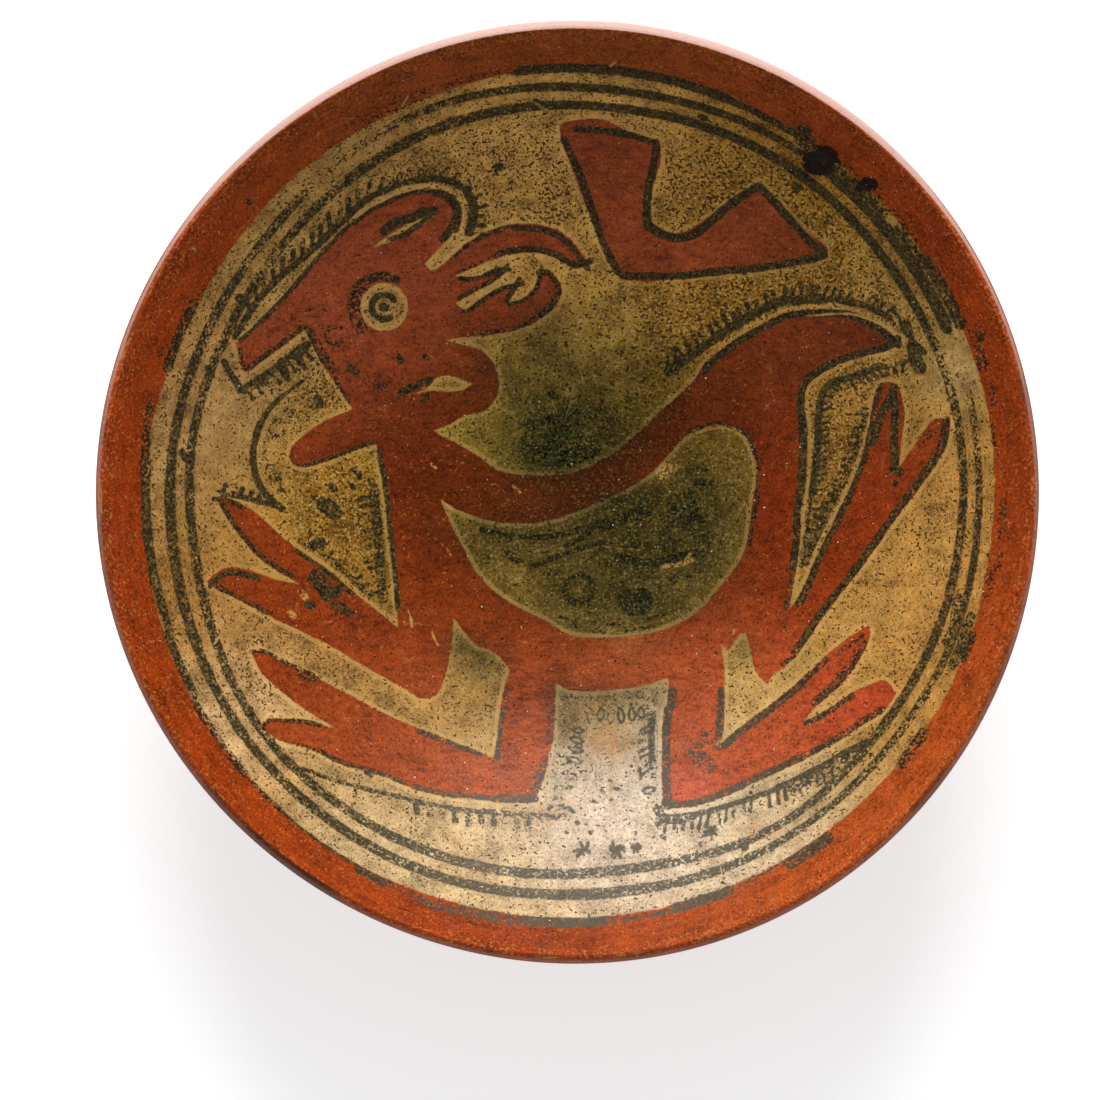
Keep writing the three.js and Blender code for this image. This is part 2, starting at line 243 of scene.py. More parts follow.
# Brush lines: half the width, how much of the ink is left, and the points that the brush goes through
BRUSH_LINES = [
    # The crest above the figure's back
    (3.8, 0.9, [(564, 140), (582, 180), (602, 240), (618, 272)]),
    (3.4, 0.85, [(576, 129), (600, 130), (628, 135), (656, 143)]),
    (4.0, 0.92, [(657, 146), (652, 172), (647, 200), (647, 225)]),
    (4.4, 0.95, [(648, 226), (664, 235), (682, 238), (702, 229), (728, 206), (757, 187)]),
    (4.0, 0.9, [(759, 186), (780, 208), (804, 236), (824, 254)]),
    (3.8, 0.92, [(824, 256), (800, 261), (760, 268), (720, 271), (680, 276), (624, 276)]),
    # The head
    (4.2, 0.9, [(452, 198), (458, 212), (455, 229)]),
    (4.6, 0.97, [(384, 231), (396, 222), (412, 218), (424, 212), (434, 211)]),
    (2.6, 0.9, [(390, 239), (400, 236), (414, 228), (430, 216)]),
    (6.5, 0.6, [(361, 328), (354, 312), (356, 294), (366, 281)]),
    (4.5, 0.75, [(366, 281), (380, 276), (396, 279)]),
    (2.6, 0.6, [(340, 328), (330, 328), (326, 336), (332, 343), (342, 342)]),
    (3.6, 0.8, [(402, 393), (412, 387), (430, 380)]),
    (2.2, 0.7, [(422, 402), (428, 398), (425, 393)]),
    (5.0, 0.35, [(310, 313), (322, 311)]),
    (4.0, 0.7, [(350, 368), (356, 373)]),
    (4.5, 0.6, [(377, 384), (384, 387)]),
    (2.8, 0.8, [(399, 356), (401, 361)]),
    (2.2, 0.8, [(424, 356), (427, 358)]),
    # Round the snout and the jaw
    (3.6, 0.9, [(224, 362), (231, 374), (240, 388)]),
    (3.2, 0.85, [(240, 391), (257, 380), (275, 368), (297, 350), (308, 344)]),
    (4.6, 0.95, [(282, 362), (285, 374)]),
    (4.0, 0.95, [(296, 354), (300, 362)]),
    (3.0, 0.9, [(264, 376), (262, 384)]),
    (3.6, 0.62, [(312, 334), (320, 348), (330, 364)]),
    (1.8, 0.6, [(330, 366), (338, 384), (350, 402)]),
    (1.4, 0.6, [(309, 345), (316, 360), (326, 382)]),
    (1.8, 0.75, [(303, 381), (292, 389), (280, 398)]),
    (2.7, 0.85, [(280, 398), (268, 411), (260, 424)]),
    (3.5, 0.95, [(260, 424), (255, 440), (253, 456), (256, 476), (264, 492), (276, 505)]),
    (1.6, 0.5, [(312, 388), (292, 404), (273, 424), (265, 446), (267, 470), (280, 492)]),
    (4.0, 0.8, [(317, 398), (320, 404)]),
    (3.4, 0.66, [(356, 470), (359, 477)]),
    (3.6, 0.7, [(370, 480), (374, 486)]),
    (2.4, 0.55, [(273, 470), (278, 478), (284, 492)]),
    (3.4, 0.5, [(291, 413), (292, 417)]),
    (3.4, 0.5, [(273, 433), (275, 437)]),
    (3.4, 0.9, [(332, 486), (334, 489)]),
    (2.6, 0.9, [(352, 486), (354, 488)]),
    (8.0, 0.75, [(324, 504), (334, 512)]),
    (6.0, 0.8, [(314, 546), (320, 543)]),
    # The upper claw and its blots
    (2.4, 0.8, [(222, 494), (236, 496), (252, 499), (270, 505)]),
    (3.6, 0.8, [(279, 506), (282, 509)]),
    (8.0, 0.8, [(316, 578), (324, 587)]),
    (6.0, 0.85, [(326, 596), (336, 592)]),
    (4.4, 0.9, [(308, 604), (312, 606)]),
    (4.8, 0.85, [(336, 605), (344, 609)]),
    (3.0, 0.8, [(349, 615), (352, 613)]),
    (7.0, 0.35, [(334, 620), (342, 622)]),
    # The right hand
    (4.0, 0.95, [(893, 388), (895, 412), (894, 440), (895, 466)]),
    (3.8, 0.9, [(889, 398), (882, 414), (877, 430), (873, 442)]),
    (5.0, 0.8, [(894, 468), (899, 472)]),
    (3.0, 0.8, [(895, 483), (896, 484)]),
    (5.0, 0.5, [(919, 440), (928, 434)]),
    # Between the tail and the rings
    (1.6, 0.9, [(892, 311), (899, 317), (902, 330)]),
    (3.8, 0.75, [(907, 322), (910, 334)]),
    (6.5, 0.85, [(913, 346), (915, 358), (920, 368)]),
    (3.0, 0.8, [(903, 326), (912, 340), (924, 352)]),
    # The arch between the legs
    (1.2, 0.5, [(562, 697), (590, 698), (625, 697), (650, 699), (654, 706)]),
    (1.6, 0.45, [(566, 704), (600, 705), (640, 704)]),
    (3.6, 0.78, [(652, 714), (651, 735), (652, 760)]),
    (2.4, 0.5, [(653, 760), (653, 786)]),
    (1.8, 0.7, [(645, 794), (644, 789), (650, 787), (655, 789), (650, 793)]),
    (4.4, 0.7, [(657, 808), (663, 817), (678, 820), (692, 817)]),
    (2.8, 0.7, [(657, 824), (668, 822)]),
    (0.9, 0.3, [(610, 758), (612, 772), (611, 782), (613, 796), (614, 806), (613, 818)]),
    (2.0, 0.75, [(614, 788), (618, 789)]),
    (1.4, 0.75, [(609, 780), (611, 781)]),
    (2.2, 0.6, [(591, 801), (595, 803)]),
    # The right leg and foot
    (8.0, 0.56, [(694, 752), (702, 760), (708, 766)]),
    (5.5, 0.5, [(686, 744), (698, 748)]),
    (5.0, 0.52, [(703, 736), (711, 740)]),
    (4.6, 0.45, [(724, 777), (729, 776)]),
    (1.8, 0.8, [(714, 746), (720, 749)]),
    (2.2, 0.6, [(838, 654), (848, 646), (858, 640), (863, 634)]),
    (2.8, 0.55, [(862, 640), (854, 656), (846, 668), (838, 675)]),
    # The left foot
    (1.8, 0.8, [(299, 672), (303, 678), (312, 680), (320, 677)]),
    (2.6, 0.85, [(366, 772), (371, 775)]),
    # Drops of ink on the outer rings
    (15.0, 1.0, [(817, 160), (825, 161)]),
    (9.0, 1.0, [(861, 187), (869, 186)]),
    (3.0, 0.9, [(800, 128), (808, 132)]),
    (2.6, 0.9, [(700, 116), (706, 119)]),
    (2.8, 0.95, [(536, 101), (541, 105)]),
    (5.0, 0.95, [(240, 298), (244, 302)]),
    (3.4, 0.95, [(208, 368), (212, 376)]),
    (4.0, 0.9, [(182, 452), (186, 458)]),
    (3.6, 0.95, [(190, 512), (190, 520)]),
    # Smudges on the red band
    (5.0, 0.44, [(350, 122), (384, 112)]),
    (3.0, 0.5, [(448, 90), (453, 92)]),
    (3.0, 0.66, [(984, 332), (980, 340)]),
    (3.4, 0.62, [(979, 354), (981, 368)]),
    (3.2, 0.6, [(991, 386), (994, 404)]),
    (3.0, 0.5, [(993, 426), (996, 450)]),
    (4.0, 0.48, [(1000, 512), (1006, 536)]),
    (3.6, 0.48, [(1002, 556), (997, 568)]),
    (3.6, 0.48, [(992, 582), (986, 598)]),
    (2.4, 0.7, [(160, 352), (160, 355)]),
    (2.4, 0.7, [(247, 201), (249, 203)]),
    (6.0, 0.62, [(958, 600), (956, 622), (948, 642)]),
    # Inside the hollow
    (2.8, 0.8, [(482, 530), (512, 536), (545, 537), (563, 534)]),
    (3.6, 0.66, [(563, 534), (600, 524), (640, 510)]),
    (2.6, 0.62, [(566, 546), (600, 530), (650, 514)]),
    (4.2, 0.6, [(506, 553), (520, 560)]),
    (2.4, 0.7, [(531, 567), (568, 553), (604, 542)]),
    (4.2, 0.72, [(617, 557), (640, 562), (662, 561), (700, 552)]),
    (2.6, 0.7, [(580, 574), (568, 580), (565, 592), (572, 602), (586, 602), (593, 592), (590, 579),
                (580, 574)]),
    (2.4, 0.6, [(588, 598), (590, 612)]),
    (13.0, 0.72, [(630, 602), (640, 602)]),
    (2.0, 0.75, [(676, 474), (692, 468), (708, 470)]),
    (3.6, 0.85, [(698, 482), (710, 482)]),
    (12.0, 0.55, [(684, 506), (690, 514)]),
    (2.0, 0.5, [(655, 590), (672, 580), (690, 576)]),
    (2.2, 0.6, [(572, 625), (600, 632), (630, 631), (660, 625)]),
    (1.6, 0.6, [(560, 617), (600, 624), (640, 622), (680, 608)]),
    (2.6, 0.6, [(686, 434), (700, 427), (720, 424), (740, 430), (752, 444), (757, 464), (758, 490),
                (753, 520), (749, 545)]),
    # Under the arch
    (3.0, 0.55, [(527, 816), (545, 817), (565, 816)]),
    (2.6, 0.6, [(549, 808), (564, 807)]),
    (1.8, 0.6, [(552, 799), (563, 798)]),
    (2.0, 0.6, [(553, 788), (571, 788)]),
    (1.2, 0.6, [(561, 776), (569, 773), (577, 776), (569, 779), (561, 776)]),
    (1.4, 0.55, [(556, 764), (576, 764)]),
    (1.4, 0.6, [(570, 753), (580, 752)]),
    (1.4, 0.55, [(571, 746), (582, 745)]),
    (2.0, 0.85, [(577, 822), (578, 823)]),
    (1.8, 0.85, [(586, 824), (587, 824)]),
    (1.8, 0.8, [(569, 808), (573, 812)]),
    (1.6, 0.8, [(640, 768), (641, 778)]),
    (1.6, 0.75, [(601, 790), (604, 793)]),
    (1.8, 0.8, [(610, 800), (612, 799)]),
    (1.6, 0.85, [(592, 802), (593, 802)]),
    (1.8, 0.8, [(589, 832), (591, 833)]),
    (1.6, 0.8, [(566, 832), (567, 833)]),
    (2.0, 0.7, [(662, 836), (665, 838)]),
]

# Brush lines that run round the bowl's centre: from an angle to an angle in degrees, anticlockwise
# from the right, the radius, half the width, and how much of the ink is left
ROUND_LINES = [
    (4, 9, 431, 2.0, 0.4),
    (12, 22, 433, 2.6, 0.45),
    (17, 21.5, 436, 3.4, 0.58),
    (23.5, 33, 427, 6.0, 0.76),
    (23.5, 50, 413, 6.0, 0.85),
    (33, 57, 421.5, 5.0, 0.7),
    (34, 50, 428, 4.0, 0.5),
    (55.5, 57, 428, 5.0, 0.85),
    (57, 68, 425, 3.6, 0.85),
    (68, 97, 425.5, 4.6, 0.97),
    (97, 112, 427, 3.2, 0.42),
    (109, 125, 419.5, 2.6, 0.42),
    (112, 121, 430, 3.0, 0.36),
    (148, 153, 418, 2.8, 0.45),
    (153, 162.5, 420.5, 5.0, 0.74),
    (168, 173, 427, 3.8, 0.68),
    (173, 177, 425, 4.4, 0.66),
    (176, 192, 423, 4.8, 0.76),
    (192, 199, 422, 4.4, 0.7),
    (199, 208, 424.5, 4.4, 0.7),
    (208, 221, 428, 3.6, 0.64),
    (222, 228, 428, 2.0, 0.6),
    (226, 246, 428, 1.2, 0.9),
    (241, 244.5, 431, 4.4, 0.7),
    (246, 250, 430, 3.0, 0.5),
    (250, 255, 433, 4.0, 0.6),
    (256, 264, 430, 5.5, 0.62),
    (264, 275, 429, 5.0, 0.82),
    (275, 284, 430, 2.6, 0.6),
    (284.5, 292, 428, 5.0, 0.82),
    (292, 300, 427, 3.0, 0.55),
    (301, 307, 431, 6.0, 0.74),
    (321, 326, 428, 5.5, 0.62),
    (336, 343, 421, 5.0, 0.64),
    (337.5, 340.5, 427, 5.0, 0.8),
    (346.5, 352, 429, 5.0, 0.42),
    (354.5, 359, 435, 5.0, 0.42),
]

# Starry spots of black mineral growth: centre and reach
STARS = [
    (583, 850, 9.5),
    (616, 850, 10),
    (636, 848, 6),
    (711, 832, 8),
    (745, 846, 5),
    (797, 188, 6),
    (498, 168, 6),
]

# Chips and rubs that show the pale ground, as brush lines are written
CHIP_LINES = [
    (2.4, 0.66, [(664, 566), (678, 565), (692, 560)]),
    (2.2, 0.64, [(685, 562), (690, 554)]),
    (3.4, 0.56, [(300, 590), (306, 598)]),
    (3.0, 0.58, [(290, 613), (294, 616)]),
    (2.0, 0.62, [(716, 744), (723, 740)]),
    (0.7, 0.5, [(606, 547), (630, 549), (660, 550)]),
    (6.0, 0.52, [(662, 474), (670, 470)]),
    (1.0, 0.8, [(432, 632), (435, 640), (438, 645)]),
    (1.0, 0.8, [(408, 610), (411, 618), (412, 626)]),
    (0.7, 0.5, [(434, 538), (444, 546), (452, 556)]),
    (0.9, 0.7, [(443, 502), (452, 509)]),
    (4.2, 0.75, [(890, 219), (894, 222)]),
    (1.6, 0.6, [(431, 464), (436, 468)]),
    (1.5, 0.6, [(514, 486), (520, 492)]),
    (1.2, 0.9, [(734, 630), (734, 634)]),
    (0.9, 0.9, [(806, 316), (850, 314), (880, 324), (902, 336)]),
    (1.2, 0.8, [(535, 103), (548, 111)]),
    (1.0, 0.8, [(408, 96), (402, 106)]),
    (0.9, 0.8, [(610, 66), (616, 62)]),
    (1.0, 0.9, [(318, 134), (319, 134)]),
    (1.2, 0.9, [(193, 248), (195, 250)]),
]

# The eye: a cream disc in the red, with a ring that is open on one side, and a pupil
EYE_CENTRE = (384.0, 307.0)
EYE_RADIUS = 23.7
EYE_RING_RADIUS = 12.25  # of the middle of the ring's line
EYE_RING_HALF = 3.25  # of the line's width
EYE_RING_GAP = (-50.0, 25.0)  # degrees
EYE_GAP_FADE = 12.0  # degrees over which the line thins out beside the gap
EYE_GAP_DEPTH = 5.0
EYE_INK = 0.9  # how much of its ink is left
PUPIL = (5.6, 4.3)  # half its width and height

# Fringes: the ink line, half its width, how much of it is left, the side of the ticks (1 is to the
# right of the line's direction), and the ticks' length, spacing, half width, lean and strength
FRINGES = [
    ([(235, 337), (253, 307), (278, 279), (311, 251), (347, 217), (367, 199), (392, 187)],
     3.4, 0.85, -1, 16.0, 12.5, 2.6, 0.95, 0.92),
    ([(392, 185), (424, 179), (450, 181), (466, 190)], 3.6, 0.85, -1, 10.0, 11.0, 2.2, 0.6, 0.75),
    ([(466, 190), (473, 204), (473, 218), (469, 232)], 4.8, 0.95, -1, 11.0, 8.0, 2.2, -0.2, 0.9),
    ([(244, 393), (262, 382), (280, 369), (306, 350)], 1.8, 0.7, 1, 13.0, 10.0, 2.2, 0.0, 0.97),
    ([(218, 491), (236, 496), (260, 504)], 1.2, 0.85, -1, 11.0, 9.0, 2.6, 0.2, 0.97),
    ([(374, 492), (376.5, 520), (379, 548), (381, 575), (383, 598)],
     5.0, 0.7, 1, 13.0, 8.0, 2.4, 0.2, 0.78),
    ([(300, 541), (322, 553), (342, 569), (368, 594)], 2.6, 0.62, -1, 8.0, 9.0, 2.0, 0.2, 0.7),
    ([(668, 372), (680, 363), (700, 349), (722, 334), (750, 316), (778, 303), (800, 300), (820, 299)],
     4.6, 0.92, -1, 12.5, 8.8, 2.5, 0.15, 0.97),
    ([(820, 299), (840, 301), (866, 306), (890, 318)], 3.2, 0.8, -1, 11.0, 7.0, 1.8, 0.4, 0.85),
    ([(906, 362), (890, 366), (880, 368)], 2.4, 0.7, -1, 9.0, 8.0, 2.2, 0.3, 0.9),
    ([(880, 366), (855, 376), (834, 382), (823, 393), (819, 412), (818, 440), (816, 466), (812, 494)],
     3.6, 0.92, -1, 10.0, 7.2, 1.7, -0.4, 0.92),
    ([(811, 498), (807, 530), (801, 566)], 1.8, 0.6, -1, 8.0, 7.0, 1.8, 0.0, 0.8),
    ([(866, 410), (861, 432), (854, 456), (840, 488), (827, 512), (816, 538), (806, 559)],
     3.4, 0.62, 1, 8.0, 8.0, 2.6, 0.3, 0.85),
    ([(303, 769), (330, 779), (362, 788), (410, 799)], 2.0, 0.7, 1, 10.0, 22.0, 2.6, 0.2, 0.7),
    ([(410, 800), (440, 806), (470, 811), (496, 812)], 2.4, 0.72, 1, 13.0, 13.0, 3.4, 0.2, 0.85),
    ([(496, 813), (526, 815), (556, 817)], 3.2, 0.6, 1, 12.0, 13.5, 3.0, 0.0, 0.65),
    ([(564, 762), (568, 742), (571, 718)], 1.0, 0.3, 1, 15.0, 9.6, 2.8, 0.0, 0.93),
    ([(586, 704), (612, 706), (648, 705)], 1.2, 0.4, 1, 15.0, 10.0, 3.2, 0.0, 0.93),
    ([(654, 712), (652, 740), (651, 770)], 1.8, 0.6, 1, 14.0, 7.6, 1.7, 0.6, 0.9),
    ([(662, 819), (700, 813), (730, 805), (760, 795), (790, 782), (818, 768), (842, 754), (868, 741)],
     2.8, 0.85, 1, 14.0, 8.8, 1.9, -0.35, 0.97),
    ([(792, 788), (820, 774), (846, 760), (868, 748)], 4.0, 0.6, 1, 8.0, 10.0, 3.0, 0.0, 0.6),
]
LOOPED_FRINGES = (1, 16, 17)  # the rows above, counted from 0, whose ticks are loops
FRINGE_SEED = 7
TICK_WAVER = 0.12  # of a tick's length and lean, as a share
TICK_SHIFT = 0.5  # pixels that a tick's root wavers along the line
TICK_FADING = 0.25  # how much of its ink a tick may lose
TICK_ROOT = 0.6  # where it starts, as a share of the line's half width
TICK_BELLY = 0.62  # where it gets its full width, as a share of its length
TICK_TAPER = 0.8  # its width before that, as a share
LOOP_BELLY = 0.6
LOOP_PEN = 1.15  # half the width of a loop's line
STAR_SEED = 3
STAR_RAYS = 9
STAR_WAVER = 0.35  # of a ray's direction, as a share of the angle between rays
STAR_REACHES = (0.55, 1.0)
STAR_ELBOW = 0.55  # where a ray bends, as a share of its length
STAR_BEND = 0.6  # radians at most
STAR_PENS = (0.9, 1.7)
STAR_INK = 0.92

# Paint fields
PICTURE_SIZE = 1100  # pixels
BOWL_CENTRE = (568.6, 493.6)  # where the bowl's axis is in the picture
RIM_PIXELS = 471.7  # mean radius of the bowl in the picture
REACH = 16.0  # pixels past which a paint edge doesn't matter
USUAL_INK = 0.7  # how much ink is left where no line is near
CURVE_STEPS = 5  # from each point of a curve to the next


def smooth(points):
    """A smooth curve through the points, as a polyline."""
    p = np.array(points, float)
    if len(p) < 3:
        return p
    p = np.vstack([2 * p[0] - p[1], p, 2 * p[-1] - p[-2]])
    a, b, c, d = p[:-3], p[1:-2], p[2:-1], p[3:]
    first, second, third = c - a, 2 * a - 5 * b + 4 * c - d, 3 * b - a - 3 * c + d
    steps = np.arange(CURVE_STEPS) / CURVE_STEPS
    rows = [0.5 * (2 * b + first * u + second * u * u + third * u**3) for u in steps]
    curve = np.stack(rows, 1).reshape(-1, 2)
    return np.vstack([curve, p[-2]])


def closed(spans):
    """The polyline of an outline, with its first point again at the end."""
    parts = [smooth(span)[:-1] for span in spans]
    line = np.vstack(parts)
    return np.vstack([line, line[:1]])


def segment_distance(points, a, b):
    """Distance of each point from the segment a to b."""
    ab = b - a
    t = np.clip(((points - a) @ ab) / max(ab @ ab, 1e-9), 0, 1)
    return np.linalg.norm(points - a - t[:, None] * ab, axis=1)


def line_distance(points, line):
    """Distance of each point from a polyline, at most REACH."""
    found = np.full(len(points), REACH)
    for a, b in zip(line[:-1], line[1:]):
        low = np.minimum(a, b) - REACH
        high = np.maximum(a, b) + REACH
        near = np.flatnonzero(((points > low) & (points < high)).all(1))
        if len(near):
            found[near] = np.minimum(found[near], segment_distance(points[near], a, b))
    return found


def inside(points, line):
    """Whether each point is inside a closed polyline."""
    found = np.zeros(len(points), bool)
    for a, b in zip(line[:-1], line[1:]):
        if a[1] == b[1]:
            continue
        low, high = (a, b) if a[1] < b[1] else (b, a)
        rows = np.flatnonzero((points[:, 1] >= low[1]) & (points[:, 1] < high[1]))
        x = low[0] + (points[rows, 1] - low[1]) * (high[0] - low[0]) / (high[1] - low[1])
        found[rows[x > points[rows, 0]]] ^= True
    return found


def signed(points, spans):
    """Distance from an outline, positive inside it."""
    line = closed(spans)
    return np.where(inside(points, line), 1.0, -1.0) * line_distance(points, line)


def along(line, start, end):
    """The stretch of a closed polyline between the corners nearest to start and end."""
    loop = line[:-1]
    first = np.argmin(np.linalg.norm(loop - start, axis=1))
    last = np.argmin(np.linalg.norm(loop - end, axis=1))
    if last <= first:
        last += len(loop)
    return np.take(loop, np.arange(first, last + 1), axis=0, mode="wrap")


def moved_inside(line, inset):
    """A polyline moved square to itself, to the right of its direction in the picture."""
    step = np.gradient(line, axis=0)
    step /= np.linalg.norm(step, axis=1)[:, None] + 1e-9
    return line + inset * np.stack([-step[:, 1], step[:, 0]], 1)


def even_points(line, spacing):
    """Points at even spacing along a polyline, and the line's direction at each."""
    lengths = np.concatenate([[0], np.cumsum(np.linalg.norm(np.diff(line, axis=0), axis=1))])
    at = np.arange(spacing / 2, lengths[-1], spacing)
    place = np.stack([np.interp(at, lengths, line[:, i]) for i in (0, 1)], 1)
    ahead = np.stack([np.interp(at + 1, lengths, line[:, i]) for i in (0, 1)], 1)
    way = ahead - place
    return place, way / (np.linalg.norm(way, axis=1)[:, None] + 1e-9)


def fringe_strokes():
    """The fringes' lines and ticks as (half width, strength, polyline)."""
    rng = np.random.default_rng(FRINGE_SEED)
    for number, row in enumerate(FRINGES):
        points, half, strength, side, length, spacing, tick, lean, tick_strength = row
        line = smooth(points)
        yield half, strength, line
        places, ways = even_points(line, spacing)
        for place, way in zip(places, ways):
            out = side * np.array([-way[1], way[0]])
            jitter = rng.normal(0, 1, 4)
            reach = length * (1 + TICK_WAVER * jitter[0])
            direction = out + (lean + TICK_WAVER * jitter[1]) * way
            direction /= np.linalg.norm(direction)
            root = place + out * (half * TICK_ROOT) + way * jitter[2] * TICK_SHIFT
            tip = root + direction * reach
            left = tick_strength * (1 - TICK_FADING * abs(jitter[3]))
            if number in LOOPED_FRINGES:
                across = np.array([-direction[1], direction[0]]) * tick
                middle = root + direction * reach * LOOP_BELLY
                yield LOOP_PEN, left, smooth([root, middle + across, tip, middle - across, root])
            else:
                belly = root + direction * reach * TICK_BELLY
                yield tick * TICK_TAPER, left, np.array([root, belly])
                yield tick, left, np.array([belly, tip - direction * tick])


def round_line(start, end, radius):
    """A line round the bowl's centre between two angles in degrees."""
    angle = np.radians(np.linspace(start, end, 2 + int((end - start) / 2)))
    return BOWL_CENTRE + radius * np.stack([np.cos(angle), -np.sin(angle)], 1)


def star_strokes():
    """The starry spots' rays, as fringe_strokes gives its lines."""
    rng = np.random.default_rng(STAR_SEED)
    for x, y, reach in STARS:
        for ray in range(STAR_RAYS):
            angle = math.tau * (ray + rng.uniform(-STAR_WAVER, STAR_WAVER)) / STAR_RAYS
            length = reach * rng.uniform(*STAR_REACHES)
            bend = rng.uniform(-STAR_BEND, STAR_BEND)
            elbow = length * STAR_ELBOW
            middle = (x + elbow * math.cos(angle), y + elbow * math.sin(angle))
            tip = (x + length * math.cos(angle + bend), y + length * math.sin(angle + bend))
            yield rng.uniform(*STAR_PENS), STAR_INK, np.array([(x, y), middle, tip])


def ink_strokes():
    """Every ink line as (half width, how much is left, polyline)."""
    outline = closed(FIGURE)
    for start, end, inset, half, strength in EDGE_INK:
        yield half, strength, moved_inside(along(outline, start, end), inset)
    for half, strength, points in BRUSH_LINES:
        yield half, strength, smooth(points)
    for start, end, radius, half, strength in ROUND_LINES:
        yield half, strength, round_line(start, end, radius)
    yield from fringe_strokes()
    yield from star_strokes()


STROKES = list(ink_strokes())
CHIPS = [(half, strength, smooth(points)) for half, strength, points in CHIP_LINES]


def stroke_fields(points, strokes):
    """How deep each point lies in the strokes, the nearest one's strength, and half its width."""
    depth = np.full(len(points), -REACH)
    left = np.full(len(points), USUAL_INK)
    width = np.full(len(points), REACH)
    for half, strength, line in strokes:
        low = line.min(0) - REACH
        high = line.max(0) + REACH
        near = np.flatnonzero(((points > low) & (points < high)).all(1))
        if not len(near):
            continue
        found = half - line_distance(points[near], line)
        better = found > depth[near]
        depth[near[better]] = found[better]
        left[near[better]] = strength
        width[near[better]] = half
    return depth, left, width


def ink_fields(points):
    """How deep each point lies in ink, how much is left of the nearest ink, and half its width."""
    depth, left, width = stroke_fields(points, STROKES)
    eye = points - EYE_CENTRE
    reach = np.linalg.norm(eye, axis=1)
    angle = np.degrees(np.arctan2(-eye[:, 1], eye[:, 0]))
    gap = np.minimum(angle - EYE_RING_GAP[0], EYE_RING_GAP[1] - angle) / EYE_GAP_FADE
    ring = EYE_RING_HALF - np.abs(reach - EYE_RING_RADIUS) - EYE_GAP_DEPTH * np.clip(gap, 0, 1)
    pupil = (1 - np.linalg.norm(eye / PUPIL, axis=1)) * min(PUPIL)
    for found in (ring, pupil):
        better = found > depth
        depth[better] = found[better]
        left[better] = EYE_INK
    return depth, left, width


def red_field(points):
    """Distance inside the red paint's outlines, negative on the cream ground."""
    field = np.maximum(signed(points, FIGURE), signed(points, CREST_PIECE))
    for gap in (HOLLOW, CHEEK_SLIT, CREST_SLIT):
        field = np.minimum(field, -signed(points, gap))
    eye = np.linalg.norm(points - EYE_CENTRE, axis=1) - EYE_RADIUS
    return np.clip(np.minimum(field, eye), -REACH, REACH)


def round_values(angle, values):
    """A smooth closed curve through evenly spaced values round the bowl, read at angles in radians."""
    count = len(values)
    k = np.fft.rfft(values) / count
    total = np.full(len(angle), k[0].real)
    for n in range(1, len(k)):
        part = k[n] * np.exp(1j * n * angle)
        total += (1 if 2 * n == count else 2) * part.real
    return total


# Radius in pixels of the middle of each painted ring and of the red band's inner edge, anticlockwise
# from the right in steps of 15 degrees, and how much of each ring's ink is left
INNER_RING = (
    395.0, 396.0, 394.0, 394.0, 393.5, 390.0, 388.5, 388.0, 384.5, 380.0, 377.0, 379.0,
    379.0, 379.0, 386.0, 388.0, 385.5, 383.0, 380.0, 382.0, 392.0, 392.0, 392.0, 393.6,
)
OUTER_RING = (
    411.0, 413.0, 413.0, 413.0, 413.0, 408.0, 407.0, 411.0, 408.0, 398.5, 395.5, 397.0,
    398.5, 399.5, 403.0, 404.5, 404.5, 404.0, 401.5, 404.0, 407.0, 408.0, 410.0, 412.0,
)
RED_BAND = (
    425.5, 427.0, 427.0, 427.0, 425.5, 425.0, 425.0, 421.0, 418.5, 418.0, 416.0, 420.0,
    424.0, 427.0, 428.0, 427.5, 427.0, 424.0, 424.5, 424.0, 424.5, 425.0, 427.0, 425.0,
)
INNER_LEFT = (
    0.72, 0.70, 0.84, 0.90, 0.84, 0.90, 0.86, 0.76, 0.72, 0.70, 0.78, 0.74,
    0.72, 0.70, 0.74, 0.76, 0.76, 0.74, 0.74, 0.72, 0.74, 0.72, 0.76, 0.76,
)
OUTER_LEFT = (
    0.72, 0.55, 0.84, 0.90, 0.76, 0.88, 0.86, 0.74, 0.52, 0.70, 0.78, 0.76,
    0.76, 0.74, 0.76, 0.76, 0.76, 0.76, 0.80, 0.76, 0.74, 0.70, 0.64, 0.78,
)
RING_PLACES = (386.0, 404.0, 425.0)  # what the rings' middles become once evened out
RING_MARGIN = 24.0  # pixels inside the inner ring, over which distances from it stay true
RING_HALF_WIDTHS = (4.7, 4.8)

# Where the ink turns from nearly black to grey, in pixels: partly faded ink, and partly a painted
# highlight low in the picture, where the wall faces the lamp
FADE_AND_HIGHLIGHT_FROM = 620.0  # down the picture, where the greying begins
FADE_AND_HIGHLIGHT_TO = 790.0  # and where it is full
FADE_AND_HIGHLIGHT_MIDDLE = 605.0  # across the picture
FADE_AND_HIGHLIGHT_REACH = 290.0  # to either side of that, where the ink is dark again
FADE_AND_HIGHLIGHT_EDGE = 170.0  # the last part of that reach, over which it darkens

# How much a colour zone and the base colour count
ZONE_WEIGHT = 2.0
BASE_WEIGHT = 0.35


def picture_angle(points):
    """Angles in radians round the bowl's centre, anticlockwise from the right."""
    out = points - BOWL_CENTRE
    return np.arctan2(-out[:, 1], out[:, 0])


